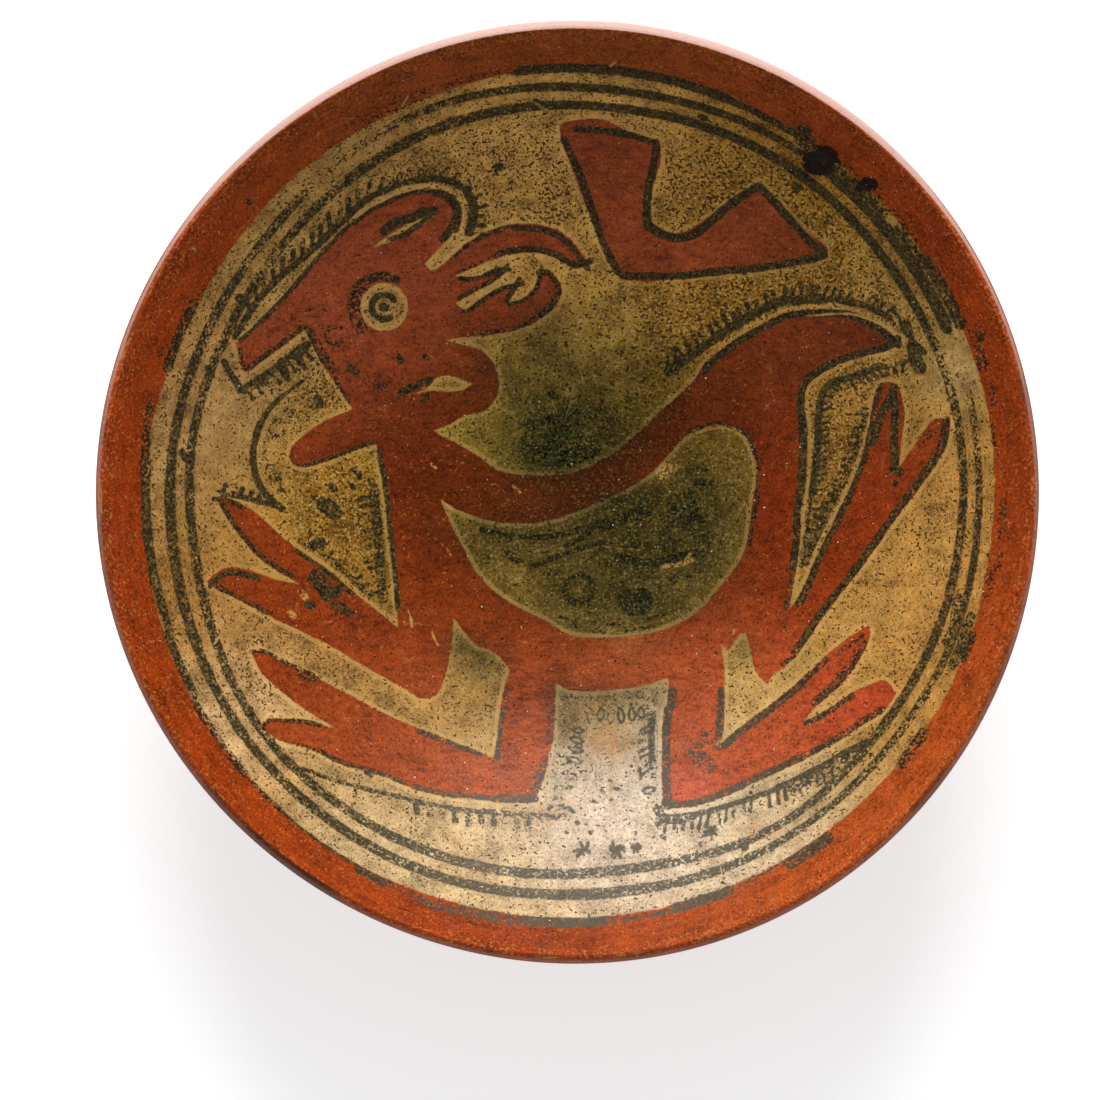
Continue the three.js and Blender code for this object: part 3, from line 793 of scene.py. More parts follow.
def ring_field(points):
    """Distance from the bowl's axis in pixels, evened out so that each painted ring is round."""
    radius = np.linalg.norm(points - BOWL_CENTRE, axis=1)
    angle = picture_angle(points)
    inner = round_values(angle, INNER_RING)
    outer = round_values(angle, OUTER_RING)
    band = round_values(angle, RED_BAND)
    known = [(inner - RING_MARGIN, RING_PLACES[0] - RING_MARGIN), (inner, RING_PLACES[0]),
             (outer, RING_PLACES[1]), (band, RING_PLACES[2])]
    even = radius * known[0][1] / np.maximum(known[0][0], 1)
    for (a, place_a), (b, place_b) in zip(known[:-1], known[1:]):
        share = (radius - a) / (b - a)
        even = np.where(radius > a, place_a + share * (place_b - place_a), even)
    return np.where(radius > band, RING_PLACES[2] + radius - band, even)


def blend_zones(points, zones, base):
    """A colour at each point: the zones' colours, each fading out from its centre, over the base."""
    total = np.full(len(points), BASE_WEIGHT)
    colour = np.outer(total, base)
    for x, y, radius, zone_colour in zones:
        away = np.linalg.norm(points - (x, y), axis=1) / radius
        weight = np.exp(-(away**2)) * ZONE_WEIGHT
        total += weight
        colour += np.outer(weight, zone_colour)
    return colour / total[:, None]


def clouds(points, spots):
    """How much of the spots lies over each point, from 0 to 1."""
    clear = np.ones(len(points))
    for x, y, wide, high, amount in spots:
        away = ((points[:, 0] - x) / wide) ** 2 + ((points[:, 1] - y) / high) ** 2
        clear *= 1 - amount * np.exp(-away)
    return 1 - clear


# Fired smoke on the inside: centre, reach across and down in pixels, and darkness, which is negative
# where a spot clears the smoke of those before it
SMOKE_SPOTS = [
    (556, 438, 52, 44, 0.95),
    (600, 400, 95, 70, 0.62),
    (530, 350, 60, 48, 0.4),
    (552, 328, 26, 30, 0.4),
    (560, 455, 44, 22, 0.6),
    (610, 430, 60, 32, 0.3),
    (566, 705, 16, 40, 0.42),
    (610, 692, 54, 10, 0.5),
    (640, 545, 75, 58, 0.68),
    (575, 590, 48, 36, 0.5),
    (510, 535, 70, 40, 0.5),
    (690, 480, 40, 30, 0.4),
    (700, 535, 44, 50, 0.62),
    (664, 366, 30, 26, 0.45),
    (640, 600, 34, 22, 0.45),
    (625, 505, 60, 20, 0.58),
    (478, 662, 30, 24, 0.6),
    (458, 642, 14, 18, 0.5),
    (512, 580, 16, 14, -0.9),
    (664, 472, 14, 12, -0.9),
    (746, 485, 12, 34, -0.2),
    (745, 648, 12, 14, 0.45),
    (700, 610, 40, 16, 0.25),
]
# Where the rings are worn away, written as the smoke is
RING_WEAR = [
    (948, 338, 10, 16, 0.9),
    (958, 358, 10, 16, 0.9),
    (965, 378, 9, 14, 0.8),
    (325, 176, 12, 12, 0.9),
    (300, 182, 14, 14, 0.5),
    (262, 262, 20, 20, 0.4),
    (215, 330, 12, 22, 0.3),
]
# Where the ground is specked with brown, written as the smoke is
GRIME_SPOTS = [
    (760, 210, 150, 110, 0.85),
    (560, 180, 150, 90, 0.7),
    (860, 340, 90, 90, 0.6),
    (330, 500, 60, 90, 0.6),
    (320, 400, 40, 50, 0.6),
    (480, 155, 80, 50, 0.3),
    (700, 320, 90, 50, 0.6),
    (260, 260, 110, 110, 0.5),
    (160, 480, 60, 220, 0.5),
    (830, 480, 40, 110, 0.5),
    (540, 740, 40, 60, 0.5),
    (960, 560, 40, 90, 0.4),
    (250, 700, 60, 60, 0.3),
]
# Where the ground is plainer and paler, written as the smoke is: clean patches, and low in the bowl the
# painted highlight, which washes out its grain
CLEAN_AND_HIGHLIT_SPOTS = [
    (600, 800, 110, 90, 0.95),
    (430, 850, 120, 50, 0.5),
    (760, 840, 110, 40, 0.6),
    (954, 366, 18, 50, 0.9),
    (930, 400, 40, 40, 0.4),
    (222, 430, 40, 60, 0.6),
    (215, 540, 40, 50, 0.5),
]
# Tan stains, written as the smoke is
STAIN_SPOTS = [
    (610, 742, 24, 18, 0.85),
    (612, 772, 3, 26, 0.5),
    (613, 800, 4, 16, 0.4),
    (455, 843, 5, 7, 0.7),
    (441, 867, 5, 7, 0.6),
    (480, 872, 3, 6, 0.6),
    (497, 878, 3, 8, 0.6),
    (590, 704, 30, 10, 0.4),
    (760, 832, 26, 14, 0.4),
    (536, 77, 6, 4, 0.7),
    (545, 812, 40, 14, 0.4),
    (215, 470, 26, 40, 0.3),
    (930, 600, 30, 40, 0.3),
]
# Soft zones of colour: centre, reach in pixels, and sRGB colour out of 255
GROUND_BASE = (168, 122, 62)
GROUND_ZONES = [
    (570, 180, 130, (240, 186, 96)),
    (300, 240, 110, (190, 148, 80)),
    (230, 440, 70, (180, 142, 90)),
    (190, 330, 50, (188, 138, 76)),
    (330, 500, 90, (166, 120, 30)),
    (260, 640, 90, (166, 114, 54)),
    (440, 710, 80, (166, 120, 54)),
    (620, 560, 150, (84, 72, 22)),
    (500, 430, 60, (146, 122, 42)),
    (480, 545, 36, (96, 78, 24)),
    (735, 480, 60, (84, 70, 18)),
    (840, 470, 60, (112, 72, 6)),
    (900, 560, 120, (202, 146, 70)),
    (900, 320, 90, (178, 138, 66)),
    (956, 366, 30, (194, 164, 108)),
    (700, 320, 110, (160, 112, 24)),
    (620, 330, 40, (180, 154, 78)),
    (780, 210, 90, (166, 118, 24)),
    (360, 530, 40, (112, 78, 8)),
    # The next three pale zones, low in the picture, are a painted highlight: the lamp's sheen on the
    # lower wall
    (620, 800, 100, (216, 200, 188)),
    (430, 850, 110, (212, 184, 138)),
    (720, 850, 100, (214, 190, 154)),
    (240, 700, 60, (230, 198, 150)),
    (600, 716, 34, (130, 104, 58)),
    (748, 700, 40, (216, 168, 98)),
]

# The figure's red
RED_BASE = (140, 60, 24)
RED_ZONES = [
    (370, 300, 120, (158, 74, 42)),
    (460, 390, 60, (112, 50, 18)),
    (410, 480, 80, (90, 32, 4)),
    (560, 490, 110, (92, 40, 10)),
    (690, 420, 90, (92, 36, 8)),
    (680, 220, 130, (156, 74, 38)),
    (840, 330, 80, (114, 50, 18)),
    (770, 520, 90, (118, 40, 4)),
    (860, 540, 90, (146, 54, 12)),
    (430, 600, 110, (120, 46, 8)),
    (280, 600, 90, (136, 52, 10)),
    (620, 660, 110, (146, 66, 28)),
    (632, 641, 20, (150, 96, 50)),
    (380, 730, 110, (162, 72, 28)),
    (500, 770, 60, (178, 84, 42)),
    (740, 750, 110, (182, 84, 46)),
    # A painted highlight: the lamp's pinkish sheen on the right leg
    (690, 790, 30, (188, 84, 64)),
    (850, 700, 60, (172, 66, 33)),
]

# The red of the band under the rim
BAND_BASE = (149, 55, 8)
BAND_ZONES = [
    (530, 50, 210, (151, 73, 27)),
    (886, 811, 170, (171, 75, 27)),
]

# Sizes of the CAD model, in millimetres
BOWL_DIAMETER = 250.0
BOWL_HEIGHT = 62.0
FLOOR_HEIGHT = 13.0
FLOOR_THICKNESS = 8.0
LIP_RADIUS = 2.4
CURVE_POWER = 2.3
FOOT_DIAMETER = 100.0
FOOT_FACE_WIDTH = 8.0
FOOT_JOINT_INNER = 38.0
FOOT_JOINT_OUTER = 52.0
FOOT_EDGE_RADIUS = 1.6
INSIDE_DEPTH = BOWL_HEIGHT - FLOOR_HEIGHT
RIM_RADIUS = BOWL_DIAMETER / 2
CREST_RADIUS = RIM_RADIUS - LIP_RADIUS
METRE = 0.001  # metres in a millimetre

# The hand-made bowl isn't quite round: its rim wavers by these shares of its radius
THREE_LOBES = 0.0042
THREE_LOBES_AT = math.radians(62)
ONE_LOBE = 0.0032
ONE_LOBE_AT = math.radians(60)
MEAN_SCALE = 1 / (1 + THREE_LOBES + ONE_LOBE)

# The camera looks straight down from far off, as the photograph does
CAMERA_DISTANCE = 2000.0  # from the rim
MM_PER_PIXEL = RIM_RADIUS * MEAN_SCALE / RIM_PIXELS
SENSOR_WIDTH = 36.0
CAMERA_LENS = SENSOR_WIDTH * CAMERA_DISTANCE / (PICTURE_SIZE * MM_PER_PIXEL)
CAMERA_HEIGHT = CAMERA_DISTANCE + BOWL_HEIGHT - LIP_RADIUS
CAMERA_X = (PICTURE_SIZE / 2 - BOWL_CENTRE[0]) * MM_PER_PIXEL
CAMERA_Y = (BOWL_CENTRE[1] - PICTURE_SIZE / 2) * MM_PER_PIXEL


def slope_at(radius):
    """Angle between the inside face and the level, in radians."""
    rise = INSIDE_DEPTH * CURVE_POWER / CREST_RADIUS
    return np.arctan(rise * (radius / CREST_RADIUS) ** (CURVE_POWER - 1))


def inside_height(radius):
    return FLOOR_HEIGHT + INSIDE_DEPTH * (radius / CREST_RADIUS) ** CURVE_POWER


CREST_SLOPE = float(slope_at(CREST_RADIUS))
LIP_THICKNESS = LIP_RADIUS * (1 + math.cos(CREST_SLOPE))


def thickness_at(radius):
    """The clay between the inside and outside faces."""
    return FLOOR_THICKNESS + (LIP_THICKNESS - FLOOR_THICKNESS) * radius / CREST_RADIUS


def outside_point(radius):
    """The (radius, height) that lies square through the clay from the inside face at a radius."""
    slope = slope_at(radius)
    depth = thickness_at(radius)
    height = inside_height(radius) - depth * np.cos(slope)
    return np.stack([radius + depth * np.sin(slope), height], -1)


def wavered(radius, angle):
    """The hand-made radius at a CAD radius and an angle in radians."""
    lobes = THREE_LOBES * np.cos(3 * (angle - THREE_LOBES_AT))
    lobes = lobes + ONE_LOBE * np.cos(angle - ONE_LOBE_AT)
    return radius * MEAN_SCALE * (1 + lobes * (radius / RIM_RADIUS) ** 2)


def sheet_position(plan):
    """The inside face's points in millimetres at places (x, y) of the round plan."""
    radius = np.linalg.norm(plan, axis=1)
    angle = np.arctan2(plan[:, 1], plan[:, 0])
    real = wavered(radius, angle)
    return np.stack([real * np.cos(angle), real * np.sin(angle), inside_height(radius)], 1)


def in_picture(position):
    """Where points in millimetres are in the picture, in pixels."""
    scale = CAMERA_DISTANCE / MM_PER_PIXEL / (CAMERA_HEIGHT - position[:, 2])
    x = PICTURE_SIZE / 2 + (position[:, 0] - CAMERA_X) * scale
    y = PICTURE_SIZE / 2 - (position[:, 1] - CAMERA_Y) * scale
    return np.stack([x, y], 1)


# The painted sheet of the inside
PLAN_RINGS = 34
FINEST = 1.7  # pixels, the triangles' size at an edge of the paint
THIN_SHARE = 0.75  # and at a thin line, as a share of half its width
THINNEST = 0.9
GROWTH = 0.85  # how fast they grow away from it, for each pixel
COARSEST = 13.0
ARRIS_SIZE = 4.5  # pixels, along the bowl's inside edge
SPLIT_OVER = 1.3  # times its size, past which an edge is cut in two
SPLIT_ROUNDS = 8
SHEET_THICKNESS = 1.0
SKIRT_DEPTH = 0.8  # how far the sheet's rim goes straight down
BACK_RINGS = 12
BACK_RADIUS = 0.985  # of the hidden back, as a share of the crest's
BACK_UV_SIZE = 0.1  # of the colour map's side, for the hidden back
UV_MARGIN = 0.002  # of that side, round the front
SHEET_CREASE = math.radians(40)  # past which an edge is sharp
BODY_CREASE = math.radians(50)


def round_plan(rings, radius):
    """A disc of nearly even triangles: its points, and its triangles seen anticlockwise."""
    points = [(0.0, 0.0)]
    starts = [0, 1]
    for i in range(1, rings + 1):
        for j in range(6 * i):
            angle = math.tau * j / (6 * i)
            at = radius * i / rings
            points.append((at * math.cos(angle), at * math.sin(angle)))
        starts.append(starts[-1] + 6 * i)
    triangles = []
    for i in range(1, rings + 1):
        outer, inner = starts[i], starts[i - 1]
        for sector in range(6):
            for j in range(i):
                a = outer + (sector * i + j) % (6 * i)
                b = outer + (sector * i + j + 1) % (6 * i)
                c = inner + (sector * (i - 1) + j) % max(6 * (i - 1), 1)
                triangles.append((a, b, c))
                if j < i - 1:
                    d = inner + (sector * (i - 1) + j + 1) % (6 * (i - 1))
                    triangles.append((b, d, c))
    return np.array(points), np.array(triangles)


def paint_fields(plan):
    """Every paint field at places of the plan, as a dict of arrays."""
    points = in_picture(sheet_position(plan))
    ink, left, width = ink_fields(points)
    chip, chip_left, chip_width = stroke_fields(points, CHIPS)
    width = np.where(np.abs(chip) < np.abs(ink), chip_width, width)
    return {
        "red_edge": red_field(points), "ink_edge": ink, "ink_left": left,
        "chip_edge": chip, "chip_left": chip_left, "width": width,
    }


def joined(a, b):
    """Two dicts of arrays as one."""
    return {name: np.concatenate([a[name], b[name]]) for name in a}


# How a triangle is cut when 1, 2 or 3 of its edges are: its corners are 0, 1 and 2, and the middles of
# the edges that start at them 3, 4 and 5
SPLITS = {
    1: [(0, 3, 2), (3, 1, 2)],
    2: [(3, 1, 4), (0, 3, 4), (0, 4, 2)],
    3: [(0, 3, 5), (3, 1, 4), (5, 4, 2), (3, 4, 5)],
}


def edges_of(triangles):
    """Each edge once, which ones each triangle has, and how many triangles use it."""
    pairs = np.sort(triangles[:, [[0, 1], [1, 2], [2, 0]]].reshape(-1, 2), axis=1)
    edges, edge_of, uses = np.unique(pairs, axis=0, return_inverse=True, return_counts=True)
    return edges, edge_of.reshape(-1, 3), uses


def split_triangles(triangles, edge_of, marked, middle):
    """Triangles with their marked edges cut at the middle."""
    cut = marked[edge_of]
    count = cut.sum(1)
    rows = [triangles[count == 0]]
    for number in (1, 2, 3):
        pick = np.flatnonzero(count == number)
        if not len(pick):
            continue
        if number == 1:
            turn = np.argmax(cut[pick], axis=1)
        elif number == 2:
            turn = (np.argmin(cut[pick], axis=1) + 1) % 3
        else:
            turn = np.zeros(len(pick), int)
        order = (turn[:, None] + np.arange(3)) % 3
        v = np.take_along_axis(triangles[pick], order, 1)
        m = middle[np.take_along_axis(edge_of[pick], order, 1)]
        corners = np.concatenate([v, m], 1)
        rows += [corners[:, list(pieces)] for pieces in SPLITS[number]]
    return np.concatenate(rows)


def painted_plan():
    """The sheet's plan, cut finer towards the edges of the paint, with the paint fields."""
    plan, triangles = round_plan(PLAN_RINGS, CREST_RADIUS)
    fields = paint_fields(plan)
    for _ in range(SPLIT_ROUNDS):
        edges, edge_of, _ = edges_of(triangles)
        finest = np.clip(fields["width"] * THIN_SHARE, THINNEST, FINEST)
        away = np.minimum(np.abs(fields["red_edge"]), np.abs(fields["ink_edge"]))
        away = np.minimum(away, np.abs(fields["chip_edge"]))
        size = np.minimum(finest + GROWTH * away, COARSEST)
        on_arris = np.linalg.norm(plan, axis=1) > CREST_RADIUS - 1e-6
        length = np.linalg.norm(plan[edges[:, 0]] - plan[edges[:, 1]], axis=1) / MM_PER_PIXEL
        allowed = size[edges].min(1)
        both = on_arris[edges].all(1)
        allowed[both] = np.minimum(allowed[both], ARRIS_SIZE)
        marked = length > allowed * SPLIT_OVER
        if not marked.any():
            break
        middles = plan[edges[marked]].mean(1)
        arris = both[marked]
        middles[arris] *= (CREST_RADIUS / np.linalg.norm(middles[arris], axis=1))[:, None]
        middle = np.full(len(edges), -1)
        middle[marked] = len(plan) + np.arange(marked.sum())
        triangles = split_triangles(triangles, edge_of, marked, middle)
        fields = joined(fields, paint_fields(middles))
        plan = np.concatenate([plan, middles])
    return plan, triangles, fields


def zip_rings(outer, outer_angles, inner, inner_angles):
    """Triangles between two rings of points sorted by angle, seen anticlockwise from above."""
    triangles = []
    i = j = 0
    while i < len(outer) or j < len(inner):
        next_outer = outer_angles[i + 1] if i + 1 < len(outer) else outer_angles[0] + math.tau
        next_inner = inner_angles[j + 1] if j + 1 < len(inner) else inner_angles[0] + math.tau
        a, b = outer[i % len(outer)], inner[j % len(inner)]
        if j >= len(inner) or (i < len(outer) and next_outer <= next_inner):
            triangles.append((a, outer[(i + 1) % len(outer)], b))
            i += 1
        else:
            triangles.append((a, inner[(j + 1) % len(inner)], b))
            j += 1
    return triangles


def new_piece(name, positions, faces, material, crease):
    """A mesh object from positions in millimetres, with edges sharp past the crease angle."""
    mesh = bpy.data.meshes.new(name)
    mesh.from_pydata((np.asarray(positions) * METRE).tolist(), [], [list(map(int, f)) for f in faces])
    mesh.polygons.foreach_set("use_smooth", [True] * len(mesh.polygons))
    mesh.materials.append(material)
    mesh.update()
    mesh.set_sharp_from_angle(angle=crease)
    piece = bpy.data.objects.new(name, mesh)
    bpy.context.scene.collection.objects.link(piece)
    return piece


def store(mesh, name, values):
    """Keeps one number or one colour per point of a mesh."""
    values = np.asarray(values, np.float32)
    if values.ndim == 1:
        mesh.attributes.new(name, "FLOAT", "POINT").data.foreach_set("value", values)
    else:
        rgba = np.concatenate([values, np.ones((len(values), 1), np.float32)], 1)
        mesh.attributes.new(name, "FLOAT_COLOR", "POINT").data.foreach_set("color", rgba.ravel())


def linear(colour):
    """An sRGB colour out of 255 as the numbers that a shader takes."""
    c = np.asarray(colour, float) / 255
    return np.where(c <= 0.04045, c / 12.92, ((c + 0.055) / 1.055) ** 2.4)


def keep_fields(mesh, points, fields):
    """Keeps the paint fields of the front on the mesh; its hidden points lie far from any paint."""
    hidden = len(points) - len(fields["width"])
    for name in ("red_edge", "ink_edge", "chip_edge"):
        store(mesh, name, np.append(fields[name], np.full(hidden, -REACH)))
    for name in ("ink_left", "chip_left"):
        store(mesh, name, np.append(fields[name], np.full(hidden, USUAL_INK)))


def keep_places(mesh, points):
    """Keeps what depends only on a point's place in the picture."""
    store(mesh, "ring", ring_field(points))
    angle = picture_angle(points)
    unworn = 1 - clouds(points, RING_WEAR)
    store(mesh, "inner_left", round_values(angle, INNER_LEFT) * unworn)
    store(mesh, "outer_left", round_values(angle, OUTER_LEFT) * unworn)
    # Greyer ink low in the picture: partly fading, and partly a painted highlight
    lower = np.clip((points[:, 1] - FADE_AND_HIGHLIGHT_FROM) / (FADE_AND_HIGHLIGHT_TO - FADE_AND_HIGHLIGHT_FROM), 0, 1)
    aside = np.abs(points[:, 0] - FADE_AND_HIGHLIGHT_MIDDLE)
    store(mesh, "faded_and_highlit", lower * np.clip((FADE_AND_HIGHLIGHT_REACH - aside) / FADE_AND_HIGHLIGHT_EDGE, 0, 1))
    spots = {"stain": STAIN_SPOTS, "smoke": SMOKE_SPOTS, "grime": GRIME_SPOTS, "clean_and_highlit": CLEAN_AND_HIGHLIT_SPOTS}
    for name, rows in spots.items():
        store(mesh, name, clouds(points, rows))
    store(mesh, "ground", linear(blend_zones(points, GROUND_ZONES, GROUND_BASE)))
    store(mesh, "red", linear(blend_zones(points, RED_ZONES, RED_BASE)))
    store(mesh, "band", linear(blend_zones(points, BAND_ZONES, BAND_BASE)))


def add_bake_map(mesh, front_plan, hidden_plan):
    """The UV map for baked colours: the front fills it, over a small copy of the back."""
    uv = np.concatenate([front_plan, hidden_plan]) / (2 * CREST_RADIUS) + 0.5
    count = len(front_plan)
    uv[count:] *= BACK_UV_SIZE
    uv[:count] = UV_MARGIN + (1 - 2 * UV_MARGIN) * uv[:count]
    loops = np.zeros(len(mesh.loops), int)
    mesh.loops.foreach_get("vertex_index", loops)
    mesh.uv_layers.new(name="OFBake").data.foreach_set("uv", uv[loops].ravel().astype(np.float32))


def painted_sheet(material):
    """The inside face, with a rim and a back that lie inside the clay body."""
    plan, triangles, fields = painted_plan()
    front = sheet_position(plan)
    edges, _, uses = edges_of(triangles)
    rim = np.unique(edges[uses == 1])
    rim_angles = np.arctan2(plan[rim, 1], plan[rim, 0]) % math.tau
    order = np.argsort(rim_angles)
    rim, rim_angles = rim[order], rim_angles[order]
    skirt = len(plan) + np.arange(len(rim))
    skirt_points = front[rim] - (0, 0, SKIRT_DEPTH)
    back_plan, back_triangles = round_plan(BACK_RINGS, CREST_RADIUS * BACK_RADIUS)
    back = sheet_position(back_plan) - (0, 0, SHEET_THICKNESS)
    back_start = len(plan) + len(rim)
    edge_count = 6 * BACK_RINGS
    back_rim = back_start + len(back_plan) - edge_count + np.arange(edge_count)
    back_angles = np.arange(edge_count) * math.tau / edge_count
    faces = triangles.tolist()
    for k in range(len(rim)):
        n = (k + 1) % len(rim)
        faces += [(rim[n], rim[k], skirt[k]), (rim[n], skirt[k], skirt[n])]
    faces += [f[::-1] for f in zip_rings(skirt, rim_angles, back_rim, back_angles)]
    faces += [f[::-1] for f in (back_triangles + back_start).tolist()]
    positions = np.concatenate([front, skirt_points, back])
    piece = new_piece("painted_inside", positions, faces, material, SHEET_CREASE)
    points = in_picture(positions)
    keep_fields(piece.data, points, fields)
    keep_places(piece.data, points)
    add_bake_map(piece.data, plan, np.concatenate([back_plan[:1].repeat(len(rim), 0), back_plan]))
    return piece


# The clay body: the lip, the outside and the underside
BODY_SEGMENTS = 360
BODY_RINGS = 52
LIP_RINGS = 14
CORE_RINGS = 22
POLE_RADIUS = 2.0  # of the first and last rings, round the axis
CORE_INSET = 0.3  # of the hidden inside face from the crest
CORE_DEPTH = 0.4  # and under the painted sheet
UNEVENNESS = 0.22  # how far the hand-smoothed outside is hollowed, at most twice this
EVEN_LIP = 10.0  # below the crest, over which the hollows fade out
WAVE_STEP = 0.21  # how far the waves go from one ring of a profile to the next
# Waves of the hollows: turns round the bowl, turns along the profile, start and amount
WAVES = (
    (2, 0.9, 0.4, 1.0),
    (5, -1.7, 2.1, 1.0),
    (9, 3.1, 0.8, 0.8),
    (14, -2.3, 0.0, 0.6),
    (0, 2.6, 1.2, 0.9),
)
LIP_ZONE = (9.0, 6.0)  # below the crest: where the rubbed lip begins, and over how much it does
LIP_ZONE_RADIUS = 100.0
RUB_AND_HIGHLIGHT_ANGLES = (-30.0, 5.0, 35.0, 50.0, 75.0, 88.0)  # degrees round the lip, up to its crest at 90
RUB_AND_HIGHLIGHT_AMOUNTS = (0.0, 0.25, 0.8, 1.0, 0.6, 0.0)  # how easily it is rubbed pale there, which is also where the painted highlight lies


def hand_smoothed(angle, along):
    """How far the outside is hollowed at an angle and a place along the profile, in millimetres."""
    total = 0.0
    most = 0.0
    for turns, rise, start, amount in WAVES:
        total = total + amount * np.sin(turns * angle + rise * along + start)
        most += amount
    return UNEVENNESS * (1 + total / most)


def turned(profile, uneven, segments, closed_axis):
    """Positions and faces of a profile of (radius, height) turned about the axis.

    uneven says how much of the hollows each of its points gets. closed_axis closes it with a point on
    the axis at each end, and else its ends are joined.
    """
    profile = np.asarray(profile, float)
    step = np.gradient(profile, axis=0)
    step /= np.linalg.norm(step, axis=1)[:, None] + 1e-9
    out = np.stack([step[:, 1], -step[:, 0]], 1)
    angles = np.arange(segments) * math.tau / segments
    rows = []
    for k, (radius, height) in enumerate(profile):
        hollow = hand_smoothed(angles, k * WAVE_STEP) * uneven[k]
        r = wavered(radius - out[k, 0] * hollow, angles)
        z = np.full(segments, height) - out[k, 1] * hollow
        rows.append(np.stack([r * np.cos(angles), r * np.sin(angles), z], 1))
    positions = np.concatenate(rows)
    ring = np.arange(segments)
    after = (ring + 1) % segments
    faces = []
    for k in range(len(profile) - 1):
        a, b = k * segments, (k + 1) * segments
        faces += np.stack([a + ring, a + after, b + after, b + ring], 1).tolist()
    if closed_axis:
        low, high = len(positions), len(positions) + 1
        positions = np.concatenate([positions, [(0, 0, profile[0][1])], [(0, 0, profile[-1][1])]])
        last = (len(profile) - 1) * segments
        faces += [(low, n, k) for k, n in zip(ring.tolist(), after.tolist())]
        faces += [(high, last + k, last + n) for k, n in zip(ring.tolist(), after.tolist())]
    else:
        last = (len(profile) - 1) * segments
        faces += np.stack([last + ring, last + after, after, ring], 1).tolist()
    return positions, faces


def clay_body(material):
    radii = np.linspace(POLE_RADIUS, CREST_RADIUS, BODY_RINGS)[:-1]
    turn = np.linspace(CREST_SLOPE - math.pi / 2, math.pi / 2, LIP_RINGS)
    lip_centre = np.array([CREST_RADIUS, BOWL_HEIGHT - LIP_RADIUS])
    lip = lip_centre + LIP_RADIUS * np.stack([np.cos(turn), np.sin(turn)], 1)
    core_radii = np.linspace(CREST_RADIUS - CORE_INSET, POLE_RADIUS, CORE_RINGS)
    core = np.stack([core_radii, inside_height(core_radii) - CORE_DEPTH], 1)
    profile = np.concatenate([outside_point(radii), lip, core])
    uneven = np.zeros(len(profile))
    uneven[: len(radii)] = np.clip((CREST_RADIUS - radii) / EVEN_LIP, 0, 1)
    positions, faces = turned(profile, uneven, BODY_SEGMENTS, True)
    piece = new_piece("clay_body", positions, faces, material, BODY_CREASE)
    points = in_picture(positions)
    store(piece.data, "band", linear(blend_zones(points, BAND_ZONES, BAND_BASE)))
    begin, over = LIP_ZONE
    near_lip = np.clip((positions[:, 2] - (BOWL_HEIGHT - begin)) / over, 0, 1)
    out = np.linalg.norm(positions[:, :2], axis=1)
    store(piece.data, "lip", near_lip * (out > LIP_ZONE_RADIUS))
    # Along the lip's profile: how much of it is rubbed pale and painted with a highlight
    lip_rub_and_highlight = np.zeros(len(profile))
    rub_and_highlight = np.interp(np.degrees(turn), RUB_AND_HIGHLIGHT_ANGLES, RUB_AND_HIGHLIGHT_AMOUNTS)
    lip_rub_and_highlight[len(radii) : len(radii) + LIP_RINGS] = rub_and_highlight
    store(piece.data, "lip_rub_and_highlight", np.append(np.repeat(lip_rub_and_highlight, BODY_SEGMENTS), (0, 0)))
    return piece


FOOT_SEGMENTS = 240
FLANK_STEPS = 8
EDGE_STEPS = 6
JOINT_DEPTH = 1.2  # how far the foot ring is luted into the body
FOOT_UNEVENNESS = 0.5  # of its flanks, as a share of the body's
STANDING_HEIGHT = 0.02  # under which the ring is its flat standing face


def flank(joint, edge):
    """The hollow curve from the joint down to the worn edge, as in the CAD model."""
    joint, edge = np.asarray(joint, float), np.asarray(edge, float)
    waist = np.array([edge[0], (joint[1] + edge[1]) / 2])
    t = np.linspace(0, 1, FLANK_STEPS)[:, None]
    return (1 - t) ** 2 * joint + 2 * t * (1 - t) * waist + t**2 * edge


def arc(centre, radius, start, end, steps):
    """Points of a circular arc between two angles in radians, both ends included."""
    turn = np.linspace(start, end, steps)
    return np.asarray(centre) + radius * np.stack([np.cos(turn), np.sin(turn)], 1)


def foot_ring(material):
    outer_joint, inner_joint = outside_point(np.array([FOOT_JOINT_OUTER, FOOT_JOINT_INNER]))
    outer_edge = (FOOT_DIAMETER / 2, FOOT_EDGE_RADIUS)
    inner_edge = (FOOT_DIAMETER / 2 - FOOT_FACE_WIDTH, FOOT_EDGE_RADIUS)
    inner_corner = arc(inner_edge, FOOT_EDGE_RADIUS, math.pi, 1.5 * math.pi, EDGE_STEPS)
    outer_corner = arc(outer_edge, FOOT_EDGE_RADIUS, -math.pi / 2, 0, EDGE_STEPS)
    inner_flank = flank(inner_joint, inner_corner[0])
    outer_flank = flank(outer_joint, outer_corner[-1])[::-1]
    outer_root = outer_joint + (0, JOINT_DEPTH)
    inner_root = inner_joint + (0, JOINT_DEPTH)
    profile = np.concatenate(
        [[inner_root], inner_flank, inner_corner[1:], outer_corner, outer_flank[1:], [outer_root]]
    )
    uneven = np.full(len(profile), FOOT_UNEVENNESS)
    uneven[profile[:, 1] < STANDING_HEIGHT] = 0
    uneven[[0, -1]] = 0
    positions, faces = turned(profile, uneven, FOOT_SEGMENTS, False)
    return new_piece("luted_foot", positions, faces, material, BODY_CREASE)


# Materials
NOISE_SPREAD = 4.5  # one over how far noise mostly swings about 0.5


def shade(red, green, blue):
    """An sRGB colour out of 255 for a colour socket."""
    return (*linear((red, green, blue)), 1.0)


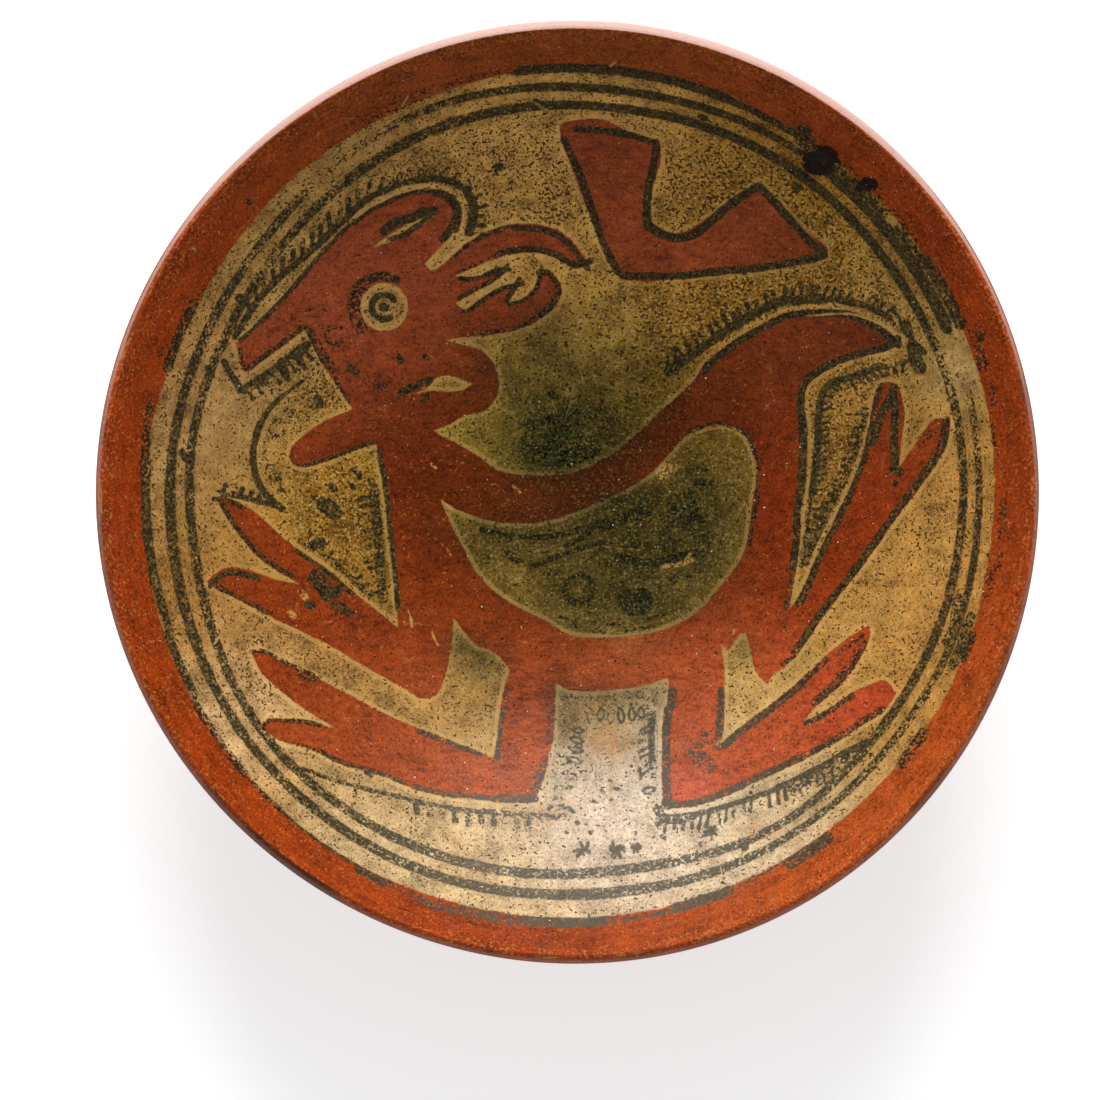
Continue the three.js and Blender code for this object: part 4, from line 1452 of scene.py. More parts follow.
class Paint:
    """A node material: each call adds a node and gives back its output socket."""

    def __init__(self, name):
        self.material = bpy.data.materials.new(name)
        self.material.use_nodes = True
        self.tree = self.material.node_tree
        self.tree.nodes.clear()
        self.place = self.scaled(self.node("ShaderNodeTexCoord").outputs["Object"], (1 / METRE,) * 3)

    def node(self, kind, **settings):
        node = self.tree.nodes.new(kind)
        for name, value in settings.items():
            setattr(node, name, value)
        return node

    def put(self, value, socket):
        if isinstance(value, bpy.types.NodeSocket):
            self.tree.links.new(value, socket)
        elif isinstance(value, tuple):
            socket.default_value = value[: len(socket.default_value)]
        else:
            socket.default_value = value

    def fed(self, kind, inputs, **settings):
        """A node with its inputs, given by name or number."""
        node = self.node(kind, **settings)
        for name, value in inputs.items():
            self.put(value, node.inputs[name])
        return node

    def scaled(self, vector, factors):
        return self.fed("ShaderNodeVectorMath", {0: vector, 1: factors}, operation="MULTIPLY").outputs[0]

    def math(self, operation, *values, clamp=False):
        """Blender's own Math node."""
        inputs = dict(enumerate(values))
        return self.fed("ShaderNodeMath", inputs, operation=operation, use_clamp=clamp).outputs[0]

    def chain(self, operation, first, others):
        for other in others:
            first = self.math(operation, first, other)
        return first

    def add(self, first, *others):
        return self.chain("ADD", first, others)

    def less(self, first, *others):
        return self.chain("SUBTRACT", first, others)

    def times(self, first, *others):
        return self.chain("MULTIPLY", first, others)

    def most(self, first, *others):
        return self.chain("MAXIMUM", first, others)

    def without(self, value, share):
        """1 less this share of a value."""
        return self.less(1.0, self.times(value, share))

    def step(self, value, low, high, start=0.0, end=1.0):
        """Goes smoothly from start to end as the value goes from low to high."""
        inputs = {"Value": value, "From Min": low, "From Max": high, "To Min": start, "To Max": end}
        return self.fed("ShaderNodeMapRange", inputs, interpolation_type="SMOOTHSTEP").outputs["Result"]

    def kept(self, name, output="Fac"):
        """A number or colour that the mesh keeps at each point."""
        return self.node("ShaderNodeAttribute", attribute_name=name).outputs[output]

    def noise(self, size, detail, roughness, place=None):
        """Noise whose blotches are about this many millimetres across, from 0 to 1."""
        place = self.place if place is None else place
        inputs = {"Vector": place, "Scale": 1 / size, "Detail": detail, "Roughness": roughness}
        return self.fed("ShaderNodeTexNoise", inputs).outputs["Fac"]

    def around(self, value, amount):
        """A number that swings about 0 by mostly less than the amount, made from noise."""
        return self.times(self.less(value, 0.5), NOISE_SPREAD * amount)

    def swing(self, size, detail, roughness, amount, place=None):
        return self.around(self.noise(size, detail, roughness, place), amount)

    def patches(self, size, detail, roughness, low, high, start=0.0, end=1.0, place=None, push=None):
        """Noise taken through step, so that it makes patches. push is added to it first."""
        value = self.noise(size, detail, roughness, place)
        if push is not None:
            value = self.add(value, push)
        return self.step(value, low, high, start, end)

    def mix(self, amount, a, b, blend="MIX"):
        inputs = {"Factor": amount, 6: a, 7: b}
        return self.fed("ShaderNodeMix", inputs, data_type="RGBA", blend_type=blend).outputs[2]

    def brightened(self, colour, factor):
        """A colour times a number."""
        inputs = {0: colour, "Scale": factor}
        return self.fed("ShaderNodeVectorMath", inputs, operation="SCALE").outputs[0]

    def place_parts(self):
        """How far a place is to the right, up the picture and up from the table, in millimetres."""
        return self.fed("ShaderNodeSeparateXYZ", {0: self.place}).outputs

    def bump(self, height, depth):
        return self.fed("ShaderNodeBump", {"Height": height, "Distance": depth * METRE}).outputs[0]

    def finish(self, colour, roughness, normal, specular=0.1):
        inputs = {"Base Color": colour, "Roughness": roughness, "Normal": normal}
        shader = self.fed("ShaderNodeBsdfPrincipled", {**inputs, "Specular IOR Level": specular})
        self.fed("ShaderNodeOutputMaterial", {"Surface": shader.outputs[0]})
        return self.material


def polar_place(paint, along):
    """A place that runs round the bowl: blotches get this many times longer that way."""
    flat = paint.scaled(paint.place, (1.0, 1.0, 0.0))
    length = paint.fed("ShaderNodeVectorMath", {0: flat}, operation="LENGTH").outputs["Value"]
    way = paint.fed("ShaderNodeVectorMath", {0: flat}, operation="NORMALIZE").outputs[0]
    sides = paint.fed("ShaderNodeSeparateXYZ", {0: way}).outputs
    right = paint.times(sides[0], RIM_RADIUS / along)
    up = paint.times(sides[1], RIM_RADIUS / along)
    return paint.fed("ShaderNodeCombineXYZ", {0: right, 1: up, 2: length}).outputs[0]


# Burnished red slip. A row of noise is its size in millimetres, detail and roughness, and then how far
# it swings, or where its patches begin and are full, and how strong they are outside and inside
SLIP_TONE = 1.05
SLIP_DARKEST = 0.4
SLIP_BLOTCHES = (10.0, 3.0, 0.55, 0.2)
SLIP_STREAKS = (1.6, 3.0, 0.7, 0.34)
SLIP_GRAIN = (1.0, 1.0, 0.6, 0.42)
DEEP_PATCHES = (6.0, 4.0, 0.75, 0.56, 0.74, 0.0, 0.4)
BRIGHT_PATCHES = (9.0, 4.0, 0.8, 0.58, 0.76, 0.0, 0.4)
PITS = (1.0, 1.0, 0.6, 0.64, 0.70)
PIT_STRENGTH = 0.8
CHIP_CROWDS = (5.0, 3.0, 0.7, 0.44, 0.64)
SLIP_CHIPS = (0.8, 1.0, 0.6, 0.62, 0.67)
CHIPS_WHERE_RUBBED = 0.06
CHIP_STRENGTH = 0.55
DEEP_RED = shade(60, 24, 3)
BRIGHT_RED = shade(182, 80, 14)
PIT_BROWN = shade(30, 16, 5)
CHIP_TAN = shade(206, 126, 60)


def red_slip(paint, colour, streaks, rubbed=0.0):
    """Streaks, blotches, dark pits and small chips, which crowd where it is rubbed."""
    blotch = paint.swing(*SLIP_BLOTCHES)
    streak = paint.swing(*SLIP_STREAKS, place=streaks)
    tone = paint.add(SLIP_TONE, blotch, streak, paint.swing(*SLIP_GRAIN))
    colour = paint.brightened(colour, paint.most(tone, SLIP_DARKEST))
    colour = paint.mix(paint.patches(*DEEP_PATCHES), colour, DEEP_RED)
    colour = paint.mix(paint.patches(*BRIGHT_PATCHES, place=streaks), colour, BRIGHT_RED)
    pits = paint.patches(*PITS)
    colour = paint.mix(paint.times(pits, PIT_STRENGTH), colour, PIT_BROWN)
    crowd = paint.most(paint.patches(*CHIP_CROWDS), rubbed)
    chips = paint.patches(*SLIP_CHIPS, push=paint.times(rubbed, CHIPS_WHERE_RUBBED))
    colour = paint.mix(paint.times(chips, paint.times(crowd, CHIP_STRENGTH)), colour, CHIP_TAN)
    return colour, pits, paint.times(chips, crowd)


# Thin wandering scratches: how much shorter the noise is along them, its size, the width of a line as
# a share of the noise, and where they crowd
SCRATCH_STRETCH = (0.1, 1.0, 1.0)
SCRATCH_NOISE = (2.6, 0.0, 0.55)
SCRATCH_LINE = (0.003, 0.009)
SCRATCH_CROWDS = (2.0, 0.55, 0.56, 0.66)


def scratches(paint, turn, crowd_size):
    """Scratches in one main direction, in degrees."""
    inputs = {"Vector": paint.place, "Angle": math.radians(turn)}
    slanted = paint.fed("ShaderNodeVectorRotate", inputs, rotation_type="Z_AXIS").outputs[0]
    noise = paint.noise(*SCRATCH_NOISE, place=paint.scaled(slanted, SCRATCH_STRETCH))
    line = paint.step(paint.math("ABSOLUTE", paint.less(noise, 0.5)), *SCRATCH_LINE, 1.0, 0.0)
    return paint.times(line, paint.patches(crowd_size, *SCRATCH_CROWDS))


# The painted inside. The rows of noise are written as the slip's are
RAGGED_FINE = (1.1, 4.0, 0.65, 0.8)
RAGGED_BROAD = (5.0, 2.0, 0.55, 0.5)
BAND_RAGGED = 1.4  # how much more ragged the band's edge is
WEAR_BROAD = (1.8, 3.0, 0.6)
WEAR_FINE = (0.8, 1.0, 0.6)
WEAR_SHARES = (0.9, 1.5)
WEAR_LEVEL = 0.7
GROUND_TONE = 1.08
GROUND_CLOUDS = (9.0, 3.0, 0.65)
GROUND_SWING = 0.22
FLAKES = (2.2, 3.0, 0.7, 0.42, 0.58, -0.12, 0.12)
RED_MARGIN = (-5.0, -3.0)  # pixels from the figure, where the ground gets cleaner
MARGIN_DIRT = 0.4
CLEAN_AND_HIGHLIT_FADE = 0.8
LEAST_GRAIN = 0.3
LEAST_OCHRE = 0.35
CLEAN_AND_HIGHLIT_OCHRE = 0.3
OUTER_RINGS = (374.0, 384.0)  # pixels from the centre, from which the ground has less grain
OUTER_GRAIN = 0.55
GRAIN_GAPS = (5.0, 3.0, 0.7, 0.07)
CLEAN_GAPS = 0.12
DARK_GRAIN = (0.75, 0.0, 0.55, 0.345, 0.42, 0.92, 0.0)
PALE_GRAIN = (0.7, 0.0, 0.55, 0.54, 0.67, 0.0, 0.6)
MOTTLES = (0.8, 2.0, 0.7, 0.36, 0.64, -0.3, 0.3)
OCHRE_PATCHES = (5.0, 4.0, 0.75, 0.47, 0.64, 0.0, 0.62)
PALE_PATCHES = (3.4, 4.0, 0.78, 0.53, 0.70, 0.0, 0.35)
PALE_MARGIN = (0.4, 1.0, 0.25, 0.0)
SPECK_CROWDS = (0.05, 0.07, 0.1, 0.05)  # by dirt, by cloud, beside the figure, and in the clean and highlit spots
SPECKS = (0.8, 3.0, 0.75, 0.56, 0.62)
SPECK_STRENGTH = 0.8
DOTS = (1.5, 2.0, 0.6, 0.70, 0.74)
DOT_CROWDING = 0.3
DOT_STRENGTH = 0.85
STAINS = (1.6, 3.0, 0.7, 0.3, 0.6)
OCHRE = shade(140, 98, 32)
PALE_CREAM = shade(222, 182, 112)
GRAIN_CREAM = shade(222, 184, 112)
GRAIN_BROWN = shade(62, 42, 12)
SPECK_BROWN = shade(76, 46, 10)
DOT_BROWN = shade(46, 34, 22)
STAIN_TAN = shade(178, 122, 62)


def cream_ground(paint, worn_ring, grime):
    """The ground's colour and its specks, from the rings' place and how dirty it is."""
    dirty = paint.step(paint.kept("red_edge"), *RED_MARGIN, 1.0, MARGIN_DIRT)
    # Clean patches, and the painted highlight low in the bowl, where grain, ochre and pale patches fade
    clean_and_highlit = paint.kept("clean_and_highlit")
    cloud = paint.noise(*GROUND_CLOUDS)
    grainy = paint.times(dirty, paint.add(LEAST_GRAIN, grime))
    grainy = paint.times(grainy, paint.without(clean_and_highlit, CLEAN_AND_HIGHLIT_FADE))
    grainy = paint.times(grainy, paint.step(worn_ring, *OUTER_RINGS, 1.0, OUTER_GRAIN))
    sparse = paint.add(paint.times(paint.less(1.0, grainy), CLEAN_GAPS), paint.swing(*GRAIN_GAPS))
    mottles = paint.times(paint.patches(*MOTTLES), dirty)
    swing = paint.around(cloud, GROUND_SWING)
    tone = paint.add(GROUND_TONE, swing, paint.patches(*FLAKES), mottles)
    colour = paint.brightened(paint.kept("ground", "Color"), tone)
    ochre = paint.less(paint.add(LEAST_OCHRE, grime), paint.times(clean_and_highlit, CLEAN_AND_HIGHLIT_OCHRE))
    colour = paint.mix(paint.times(paint.patches(*OCHRE_PATCHES), ochre), colour, OCHRE)
    pale = paint.most(paint.patches(*PALE_PATCHES), paint.step(dirty, *PALE_MARGIN))
    colour = paint.mix(paint.times(pale, paint.without(clean_and_highlit, CLEAN_AND_HIGHLIT_FADE)), colour, PALE_CREAM)
    colour = paint.mix(paint.times(paint.patches(*PALE_GRAIN), grainy), colour, GRAIN_CREAM)
    colour = paint.mix(paint.patches(*DARK_GRAIN, push=sparse), colour, GRAIN_BROWN)
    by_dirt, by_cloud, by_margin, by_clean_and_highlit = SPECK_CROWDS
    crowding = paint.less(
        paint.times(grime, by_dirt),
        paint.around(cloud, by_cloud),
        paint.times(paint.less(1.0, dirty), by_margin),
        paint.times(clean_and_highlit, by_clean_and_highlit),
    )
    specks = paint.patches(*SPECKS, push=crowding)
    colour = paint.mix(paint.times(specks, SPECK_STRENGTH), colour, SPECK_BROWN)
    dots = paint.patches(*DOTS, push=paint.times(crowding, DOT_CROWDING))
    colour = paint.mix(paint.times(dots, DOT_STRENGTH), colour, DOT_BROWN)
    stain = paint.times(paint.kept("stain"), paint.patches(*STAINS))
    return paint.mix(stain, colour, STAIN_TAN), specks


# Ink: how much of it is left against the wear, and how deep a point lies in it, in pixels
INK_COVER = (-0.09, 0.2)
INK_EDGE = (-0.9, 0.6)
RING_EDGE = (-0.8, 1.0)
INK_OPACITY = 0.95
INK_WEAR = (0.2, 0.8)  # over which worn ink turns pale
INK_FADE_AND_HIGHLIGHT = 0.55
INK_FLECKS = (0.7, 1.0, 0.55, 0.60, 0.70, 0.0, 0.6)
DROP_LEFT = (0.98, 0.99)  # ink that is wholly left is a shiny drop
INK_BLACK = shade(20, 21, 12)
INK_WORN = shade(72, 64, 34)
INK_FADED_AND_HIGHLIT = shade(104, 98, 82)
INK_FLECK = shade(140, 118, 70)
INK_DROP = shade(9, 13, 17)


def inked(paint, colour, ring, ragged, worn):
    """A colour with the ink lines and the painted rings over it."""
    left = paint.kept("ink_left")
    ink = paint.step(paint.add(paint.kept("ink_edge"), ragged), *INK_EDGE)
    ink = paint.times(ink, paint.step(paint.less(left, worn), *INK_COVER))
    for place, half, name in zip(RING_PLACES, RING_HALF_WIDTHS, ("inner_left", "outer_left")):
        depth = paint.less(half, paint.math("ABSOLUTE", paint.less(ring, place)))
        covered = paint.step(paint.less(paint.kept(name), worn), *INK_COVER)
        ink = paint.most(ink, paint.times(paint.step(paint.add(depth, ragged), *RING_EDGE), covered))
    ink_colour = paint.mix(paint.step(worn, *INK_WEAR), INK_BLACK, INK_WORN)
    # Low in the picture the ink greys: partly faded, and partly a painted highlight
    ink_colour = paint.mix(paint.times(paint.kept("faded_and_highlit"), INK_FADE_AND_HIGHLIGHT), ink_colour, INK_FADED_AND_HIGHLIT)
    ink_colour = paint.mix(paint.patches(*INK_FLECKS), ink_colour, INK_FLECK)
    ink_colour = paint.mix(paint.step(left, *DROP_LEFT), ink_colour, INK_DROP)
    return paint.mix(paint.times(ink, INK_OPACITY), colour, ink_colour)


# Smoke from the firing
SMOKE_DRIFT = (5.0, 4.0, 0.7, 0.25)
SMOKE_LEVEL = 0.75
SMOKE_STRENGTH = 1.4
BLACKENING = 0.5
SOOT = (0.75, 1.0, 0.6, 0.38, 0.62, 0.25, 2.0)
ASH = (0.7, 1.0, 0.55, 0.58, 0.68, 0.0, 0.45)
SMOKE_TINT = shade(92, 114, 122)
SMOKE_BLACK = shade(24, 30, 14)
ASH_GREEN = shade(128, 122, 58)


def smoked(paint, colour):
    """A colour with the smoke over it, and how strong the smoke is."""
    smoke = paint.times(paint.kept("smoke"), paint.add(SMOKE_LEVEL, paint.swing(*SMOKE_DRIFT)))
    smoke = paint.math("MULTIPLY", smoke, SMOKE_STRENGTH, clamp=True)
    dark = paint.mix(1.0, colour, SMOKE_TINT, "MULTIPLY")
    dark = paint.brightened(paint.mix(BLACKENING, dark, SMOKE_BLACK), paint.patches(*SOOT))
    dark = paint.mix(paint.patches(*ASH), dark, ASH_GREEN)
    return paint.mix(smoke, colour, dark), smoke


RED_EDGE = (-0.6, 1.0)  # pixels inside the figure's outline, over which the red begins
BAND_EDGE = (-1.0, 1.4)  # and the band
BURNISH_STRETCH = (0.35, 1.0, 1.0)  # of the streaks on the figure
BAND_STREAKING = 6.0  # how much longer than wide they are on the band
RUBBED_RIM = (448.0, 459.0)  # pixels from the centre, over which the band gets rubbed
BAND_RUBBING = 0.55
CHIP_COVER = (-0.1, 0.2)
CHIP_EDGE = (-0.6, 0.9)
CHIPPING = (0.85, 0.45)  # how bare a chip is, and how much less so where it is smoked
INSIDE_SCRATCHES = ((20.0, 14.0), (104.0, 17.0))  # their turn in degrees, and the size of the crowds
INSIDE_SCRATCHING = 0.15
GLINTS = (0.62, 0.0, 0.55, 0.862, 0.875)
CHIPPED_CREAM = shade(198, 154, 84)
SCRATCH_CREAM = shade(206, 160, 96)
GLINT_WHITE = shade(236, 228, 206)
INSIDE_ROUGHNESS = 0.25
INSIDE_SHEEN = (3.0, 4.0, 0.7, 0.06)
FLAW_ROUGHNESS = 0.2
INSIDE_TOOTH = (0.8, 4.0, 0.7)
INSIDE_DENTS = (6.0, 3.0, 0.55)
INSIDE_RELIEF = 0.22  # millimetres, and these shares of it
TOOTH_SHARE = 0.5
DENT_SHARE = 1.2
FLAW_SHARE = 0.3


def painted_material():
    paint = Paint("painted_slip")
    ragged = paint.add(paint.swing(*RAGGED_FINE), paint.swing(*RAGGED_BROAD))
    worn = paint.add(
        paint.times(paint.noise(*WEAR_BROAD), WEAR_SHARES[0]),
        paint.times(paint.noise(*WEAR_FINE), WEAR_SHARES[1]),
    )
    worn = paint.less(worn, WEAR_LEVEL)
    ring = paint.kept("ring")
    ground, specks = cream_ground(paint, ring, paint.kept("grime"))

    red_in = paint.step(paint.add(paint.kept("red_edge"), ragged), *RED_EDGE)
    band_in = paint.add(paint.less(ring, RING_PLACES[2]), paint.times(ragged, BAND_RAGGED))
    band_in = paint.step(band_in, *BAND_EDGE)
    painted = paint.most(red_in, band_in)
    stretched = paint.scaled(paint.place, BURNISH_STRETCH)
    streaks = paint.mix(band_in, stretched, polar_place(paint, BAND_STREAKING))
    base_red = paint.mix(band_in, paint.kept("red", "Color"), paint.kept("band", "Color"))
    rubbed = paint.most(paint.step(ring, *RUBBED_RIM), paint.times(band_in, BAND_RUBBING))
    painted_red, _, chips = red_slip(paint, base_red, streaks, rubbed)
    colour = paint.mix(painted, ground, painted_red)
    colour = inked(paint, colour, ring, ragged, worn)
    colour, smoke = smoked(paint, colour)

    chipped = paint.step(paint.less(paint.kept("chip_left"), worn), *CHIP_COVER)
    chipped = paint.times(paint.step(paint.add(paint.kept("chip_edge"), ragged), *CHIP_EDGE), chipped)
    chipped = paint.times(chipped, paint.less(CHIPPING[0], paint.times(smoke, CHIPPING[1])))
    colour = paint.mix(chipped, colour, CHIPPED_CREAM)
    scratch = paint.most(*(scratches(paint, *row) for row in INSIDE_SCRATCHES))
    colour = paint.mix(paint.times(scratch, INSIDE_SCRATCHING), colour, SCRATCH_CREAM)
    colour = paint.mix(paint.patches(*GLINTS), colour, GLINT_WHITE)

    flaws = paint.most(specks, paint.times(painted, chips))
    sheen = paint.swing(*INSIDE_SHEEN)
    roughness = paint.add(INSIDE_ROUGHNESS, sheen, paint.times(flaws, FLAW_ROUGHNESS))
    tooth = paint.times(paint.noise(*INSIDE_TOOTH), TOOTH_SHARE)
    height = paint.add(tooth, paint.times(paint.noise(*INSIDE_DENTS), DENT_SHARE))
    height = paint.less(height, paint.times(paint.most(flaws, scratch), FLAW_SHARE))
    return paint.finish(colour, roughness, paint.bump(height, INSIDE_RELIEF))


# The burnished outside
OUTSIDE_STREAKING = 7.0  # how much longer than wide the burnishing strokes are
FIRE_CLOUDS = (60.0, 3.0, 0.5, 0.54, 0.70, 0.0, 0.75)
BUFF_CLAY = (1.2, 4.0, 0.7)
RUBS = (4.0, 5.0, 0.75, 0.66, 0.74, 0.0, 0.75)
RUBS_AT_LIP = 0.06
LIP_HIGHLIGHT_SPREAD = (60.0, 118.0, 0.7, 0.05)  # up the picture in millimetres, towards the lamp: less of the lip is pale, and higher up the painted highlight covers more of it
LIP_HIGHLIGHT_STRENGTH = (-20.0, 118.0, 0.2, 0.9)  # and how pale it is, the painted highlight being strongest towards the lamp
LIP_WEAR_AND_HIGHLIGHT_EDGE = (0.0, 0.25)
OUTSIDE_SCRATCHES = (8.0, 18.0)
OUTSIDE_SCRATCHING = 0.35
OUTSIDE_ROUGHNESS = 0.40
OUTSIDE_SHEEN = (4.0, 4.0, 0.7, 0.06)
RUB_ROUGHNESS = 0.25
BURNISH_STROKES = (2.6, 3.0, 0.6)
OUTSIDE_TOOTH = (0.7, 4.0, 0.7)
OUTSIDE_RELIEF = 0.2
OUTSIDE_TOOTH_SHARE = 0.35
PIT_SHARE = 0.3
OUTSIDE_SPECULAR = 0.22
FIRE_CLOUD_BROWN = shade(58, 34, 22)
BUFF_DARK = shade(150, 96, 52)
BUFF_PALE = shade(196, 146, 92)
# The pale pink of a rubbed lip, and of the painted highlight on its side towards the lamp
HANDLED_AND_HIGHLIT_PINK = shade(212, 174, 162)
SCRATCH_BUFF = shade(206, 150, 100)


def body_material():
    paint = Paint("burnished_red_slip")
    around_bowl = polar_place(paint, OUTSIDE_STREAKING)
    lip = paint.kept("lip")
    colour, pits, chips = red_slip(paint, paint.kept("band", "Color"), around_bowl, lip)
    colour = paint.mix(paint.patches(*FIRE_CLOUDS), colour, FIRE_CLOUD_BROWN)
    buff = paint.mix(paint.noise(*BUFF_CLAY), BUFF_DARK, BUFF_PALE)
    rubbed = paint.patches(*RUBS, place=around_bowl, push=paint.times(lip, RUBS_AT_LIP))
    colour = paint.mix(rubbed, colour, buff)
    # The lip is rubbed pale, and a painted highlight makes it paler and wider up the picture, towards
    # the lamp
    up_picture = paint.place_parts()[1]
    spread = paint.less(paint.kept("lip_rub_and_highlight"), paint.step(up_picture, *LIP_HIGHLIGHT_SPREAD))
    handled_and_highlit = paint.times(paint.step(spread, *LIP_WEAR_AND_HIGHLIGHT_EDGE), paint.step(up_picture, *LIP_HIGHLIGHT_STRENGTH))
    colour = paint.mix(handled_and_highlit, colour, HANDLED_AND_HIGHLIT_PINK)
    scratch = paint.times(scratches(paint, *OUTSIDE_SCRATCHES), OUTSIDE_SCRATCHING)
    colour = paint.mix(scratch, colour, SCRATCH_BUFF)
    roughness = paint.add(OUTSIDE_ROUGHNESS, paint.swing(*OUTSIDE_SHEEN))
    roughness = paint.add(roughness, paint.times(paint.most(rubbed, chips), RUB_ROUGHNESS))
    strokes = paint.noise(*BURNISH_STROKES, place=around_bowl)
    height = paint.add(strokes, paint.times(paint.noise(*OUTSIDE_TOOTH), OUTSIDE_TOOTH_SHARE))
    height = paint.less(height, paint.times(paint.most(pits, rubbed), PIT_SHARE))
    return paint.finish(colour, roughness, paint.bump(height, OUTSIDE_RELIEF), OUTSIDE_SPECULAR)


# The foot, bare and worn where it stands
FOOT_STREAKING = 5.0
BARE_EDGE = (3.0, 5.0, 0.75, 0.7)
BARE_HEIGHTS = (0.5, 1.3)  # millimetres above the table
CLAY_GRAIN = (1.0, 4.0, 0.75)
CLAY_GRIT = (0.6, 2.0, 0.55, 0.58, 0.66)
CLAY_DIRT = (7.0, 4.0, 0.7, 0.45, 0.65, 0.0, 0.6)
FOOT_ROUGHNESS = 0.45
BARE_ROUGHNESS = 0.35  # added where it is bare
FOOT_TOOTH = (0.8, 4.0, 0.7)
FOOT_RELIEF = 0.22
BARE_RISE = 0.3
FOOT_RED = shade(132, 58, 28)
CLAY_DARK = shade(132, 88, 54)
CLAY_PALE = shade(204, 160, 112)
GRIT_BROWN = shade(84, 60, 44)
DIRT_BROWN = shade(96, 62, 40)


def foot_material():
    paint = Paint("worn_foot")
    slip, _, _ = red_slip(paint, FOOT_RED, polar_place(paint, FOOT_STREAKING))
    bare = paint.add(paint.place_parts()[2], paint.swing(*BARE_EDGE))
    bare = paint.step(bare, *BARE_HEIGHTS, 1.0, 0.0)
    clay = paint.mix(paint.noise(*CLAY_GRAIN), CLAY_DARK, CLAY_PALE)
    clay = paint.mix(paint.patches(*CLAY_GRIT), clay, GRIT_BROWN)
    clay = paint.mix(paint.patches(*CLAY_DIRT), clay, DIRT_BROWN)
    roughness = paint.add(FOOT_ROUGHNESS, paint.times(bare, BARE_ROUGHNESS))
    height = paint.add(paint.noise(*FOOT_TOOTH), paint.times(bare, BARE_RISE))
    return paint.finish(paint.mix(bare, slip, clay), roughness, paint.bump(height, FOOT_RELIEF))


# The pieces
painted_inside = painted_sheet(painted_material())
body = clay_body(body_material())
foot = foot_ring(foot_material())
CLAY_NODES = ("base_disc", "wall_coil_1", "wall_coil_2", "wall_coil_3", "wall_coil_4", "rim_coil")
for piece, slot, nodes in (
    (painted_inside, "cream_slip", CLAY_NODES),
    (body, "red_slip", CLAY_NODES),
    (foot, "red_slip", ("foot_ring",)),
):
    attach(piece, "root")
    for node in nodes:
        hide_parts(node)

# The floor, the light and the camera
FLOOR_SIDE = 6.0  # metres
FLOOR_GAP = 0.0002  # under the foot, so that the two faces stay apart
DOME_LIGHT = 0.45  # the soft light from above, where 1 is white
HORIZON_LIGHT = 0.7  # and from near the floor
OVERHEAD_LIGHT = 0.12  # and from straight overhead, which the burnish mirrors to a camera there
KEY_LIGHT = 1.1  # of a white surface's brightness where it faces the lamp
KEY_HEIGHT = 33.0  # degrees above the floor
KEY_DISTANCE = 2.4  # metres
KEY_WIDTH = 1.5
KEY_LENGTH = 0.9
FLOOR_GLOW = 0.55  # added where the camera sees the floor, so that it is white
FLOOR_WHITE = (0.92, 0.92, 0.92, 1.0)
FLOOR_ROUGHNESS = 0.9
WHITE = (1.0, 1.0, 1.0, 1.0)
HORIZON = (0.02, 0.12)  # how high a direction points, from 0 at the horizon to 1 straight up
OVERHEAD = (0.78, 0.95)
CLIP_END = 100.0  # metres


def plain_floor():
    half = FLOOR_SIDE / 2
    mesh = bpy.data.meshes.new("floor")
    corners = [(-half, -half), (half, -half), (half, half), (-half, half)]
    mesh.from_pydata([(x, y, -FLOOR_GAP) for x, y in corners], [], [(0, 1, 2, 3)])
    floor = bpy.data.objects.new("floor", mesh)
    bpy.context.scene.collection.objects.link(floor)
    paint = Paint("floor_white")
    inputs = {"Base Color": FLOOR_WHITE, "Roughness": FLOOR_ROUGHNESS, "Emission Color": WHITE}
    glow = paint.times(seen_directly(paint), FLOOR_GLOW)
    shader = paint.fed("ShaderNodeBsdfPrincipled", {**inputs, "Emission Strength": glow})
    paint.fed("ShaderNodeOutputMaterial", {"Surface": shader.outputs[0]})
    mesh.materials.append(paint.material)
    floor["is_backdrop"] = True


def seen_directly(paint):
    """1 for the camera's rays and those that gloss or glass sends on, else 0."""
    rays = paint.node("ShaderNodeLightPath").outputs
    return paint.most(rays["Is Camera Ray"], rays["Is Glossy Ray"], rays["Is Transmission Ray"])


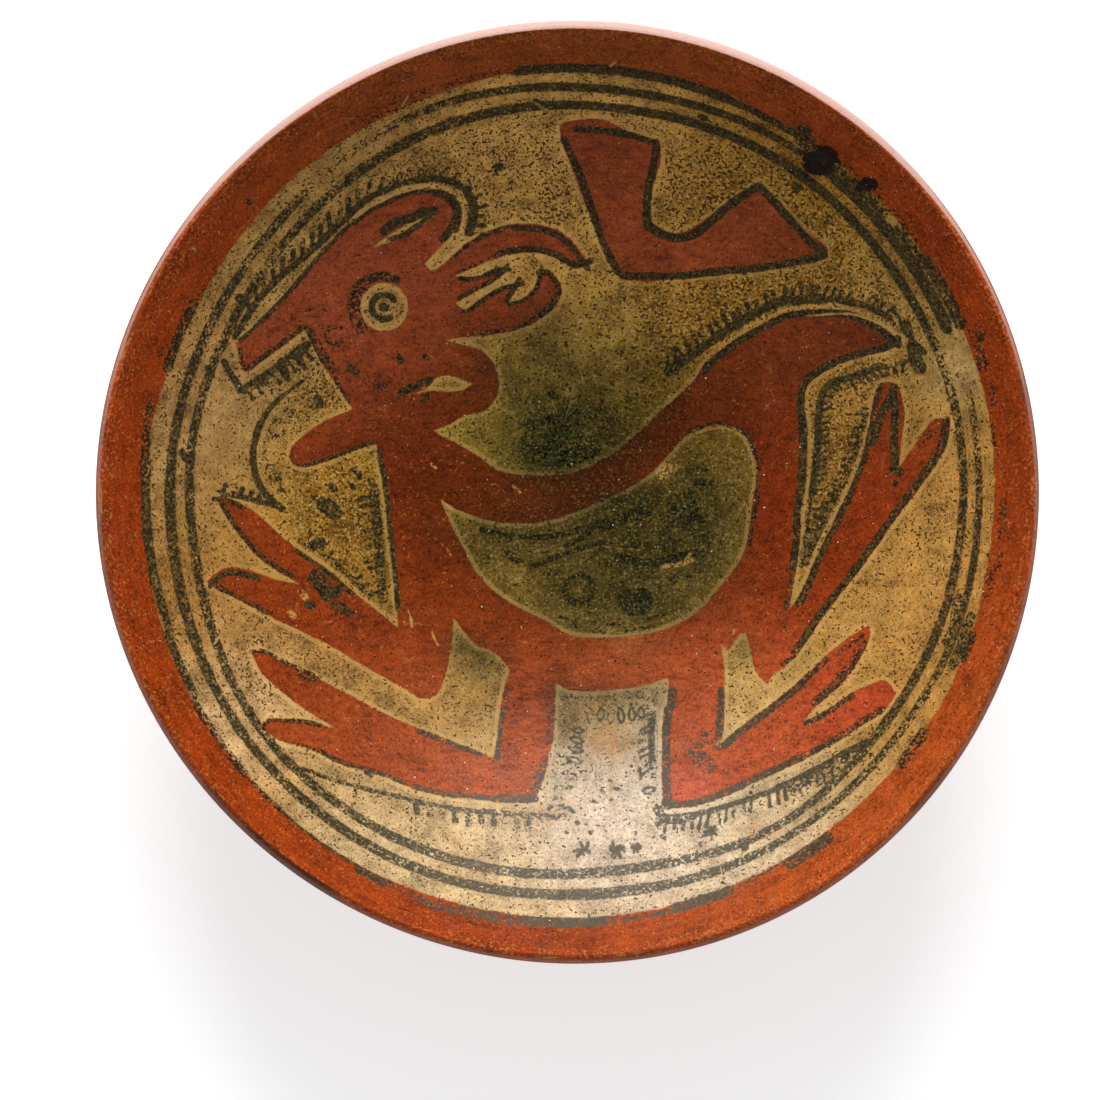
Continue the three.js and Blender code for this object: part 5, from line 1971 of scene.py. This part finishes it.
class Sky(Paint):
    """The world's nodes."""

    def __init__(self, world):
        world.use_nodes = True
        self.tree = world.node_tree
        self.tree.nodes.clear()


def soft_world():
    world = bpy.data.worlds.new("studio")
    bpy.context.scene.world = world
    sky = Sky(world)
    direction = sky.node("ShaderNodeTexCoord").outputs["Generated"]
    height = sky.fed("ShaderNodeSeparateXYZ", {0: direction}).outputs[2]
    sides = sky.step(height, *HORIZON, HORIZON_LIGHT, DOME_LIGHT)
    above = sky.step(height, *OVERHEAD, 1.0, OVERHEAD_LIGHT / DOME_LIGHT)
    strength = sky.times(sides, above)
    background = sky.fed("ShaderNodeBackground", {"Color": WHITE, "Strength": strength})
    sky.fed("ShaderNodeOutputWorld", {"Surface": background.outputs[0]})


def key_lamp():
    light = bpy.data.lights.new("key", "AREA")
    light.shape = "RECTANGLE"
    light.size = KEY_WIDTH
    light.size_y = KEY_LENGTH
    # A small Lambertian lamp of this power lights a facing white surface to KEY_LIGHT
    light.energy = KEY_LIGHT * math.pi**2 * KEY_DISTANCE**2
    lamp = bpy.data.objects.new("key", light)
    up = math.radians(KEY_HEIGHT)
    lamp.location = (0, KEY_DISTANCE * math.cos(up), KEY_DISTANCE * math.sin(up))
    lamp.rotation_euler = (up - math.pi / 2, 0, 0)
    bpy.context.scene.collection.objects.link(lamp)


def picture_camera():
    data = bpy.data.cameras.new("camera")
    data.sensor_fit = "HORIZONTAL"
    data.sensor_width = SENSOR_WIDTH
    data.lens = CAMERA_LENS
    data.clip_end = CLIP_END
    camera = bpy.data.objects.new("camera", data)
    camera.location = (CAMERA_X * METRE, CAMERA_Y * METRE, CAMERA_HEIGHT * METRE)
    bpy.context.scene.collection.objects.link(camera)
    bpy.context.scene.camera = camera


plain_floor()
soft_world()
key_lamp()
picture_camera()
bpy.context.scene.view_settings.view_transform = "Standard"

bpy.context.view_layer.update()
sizes = {"cad": cad_box, "visual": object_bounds()}
plain = {name: [[float(v) for v in corner] for corner in box] for name, box in sizes.items()}
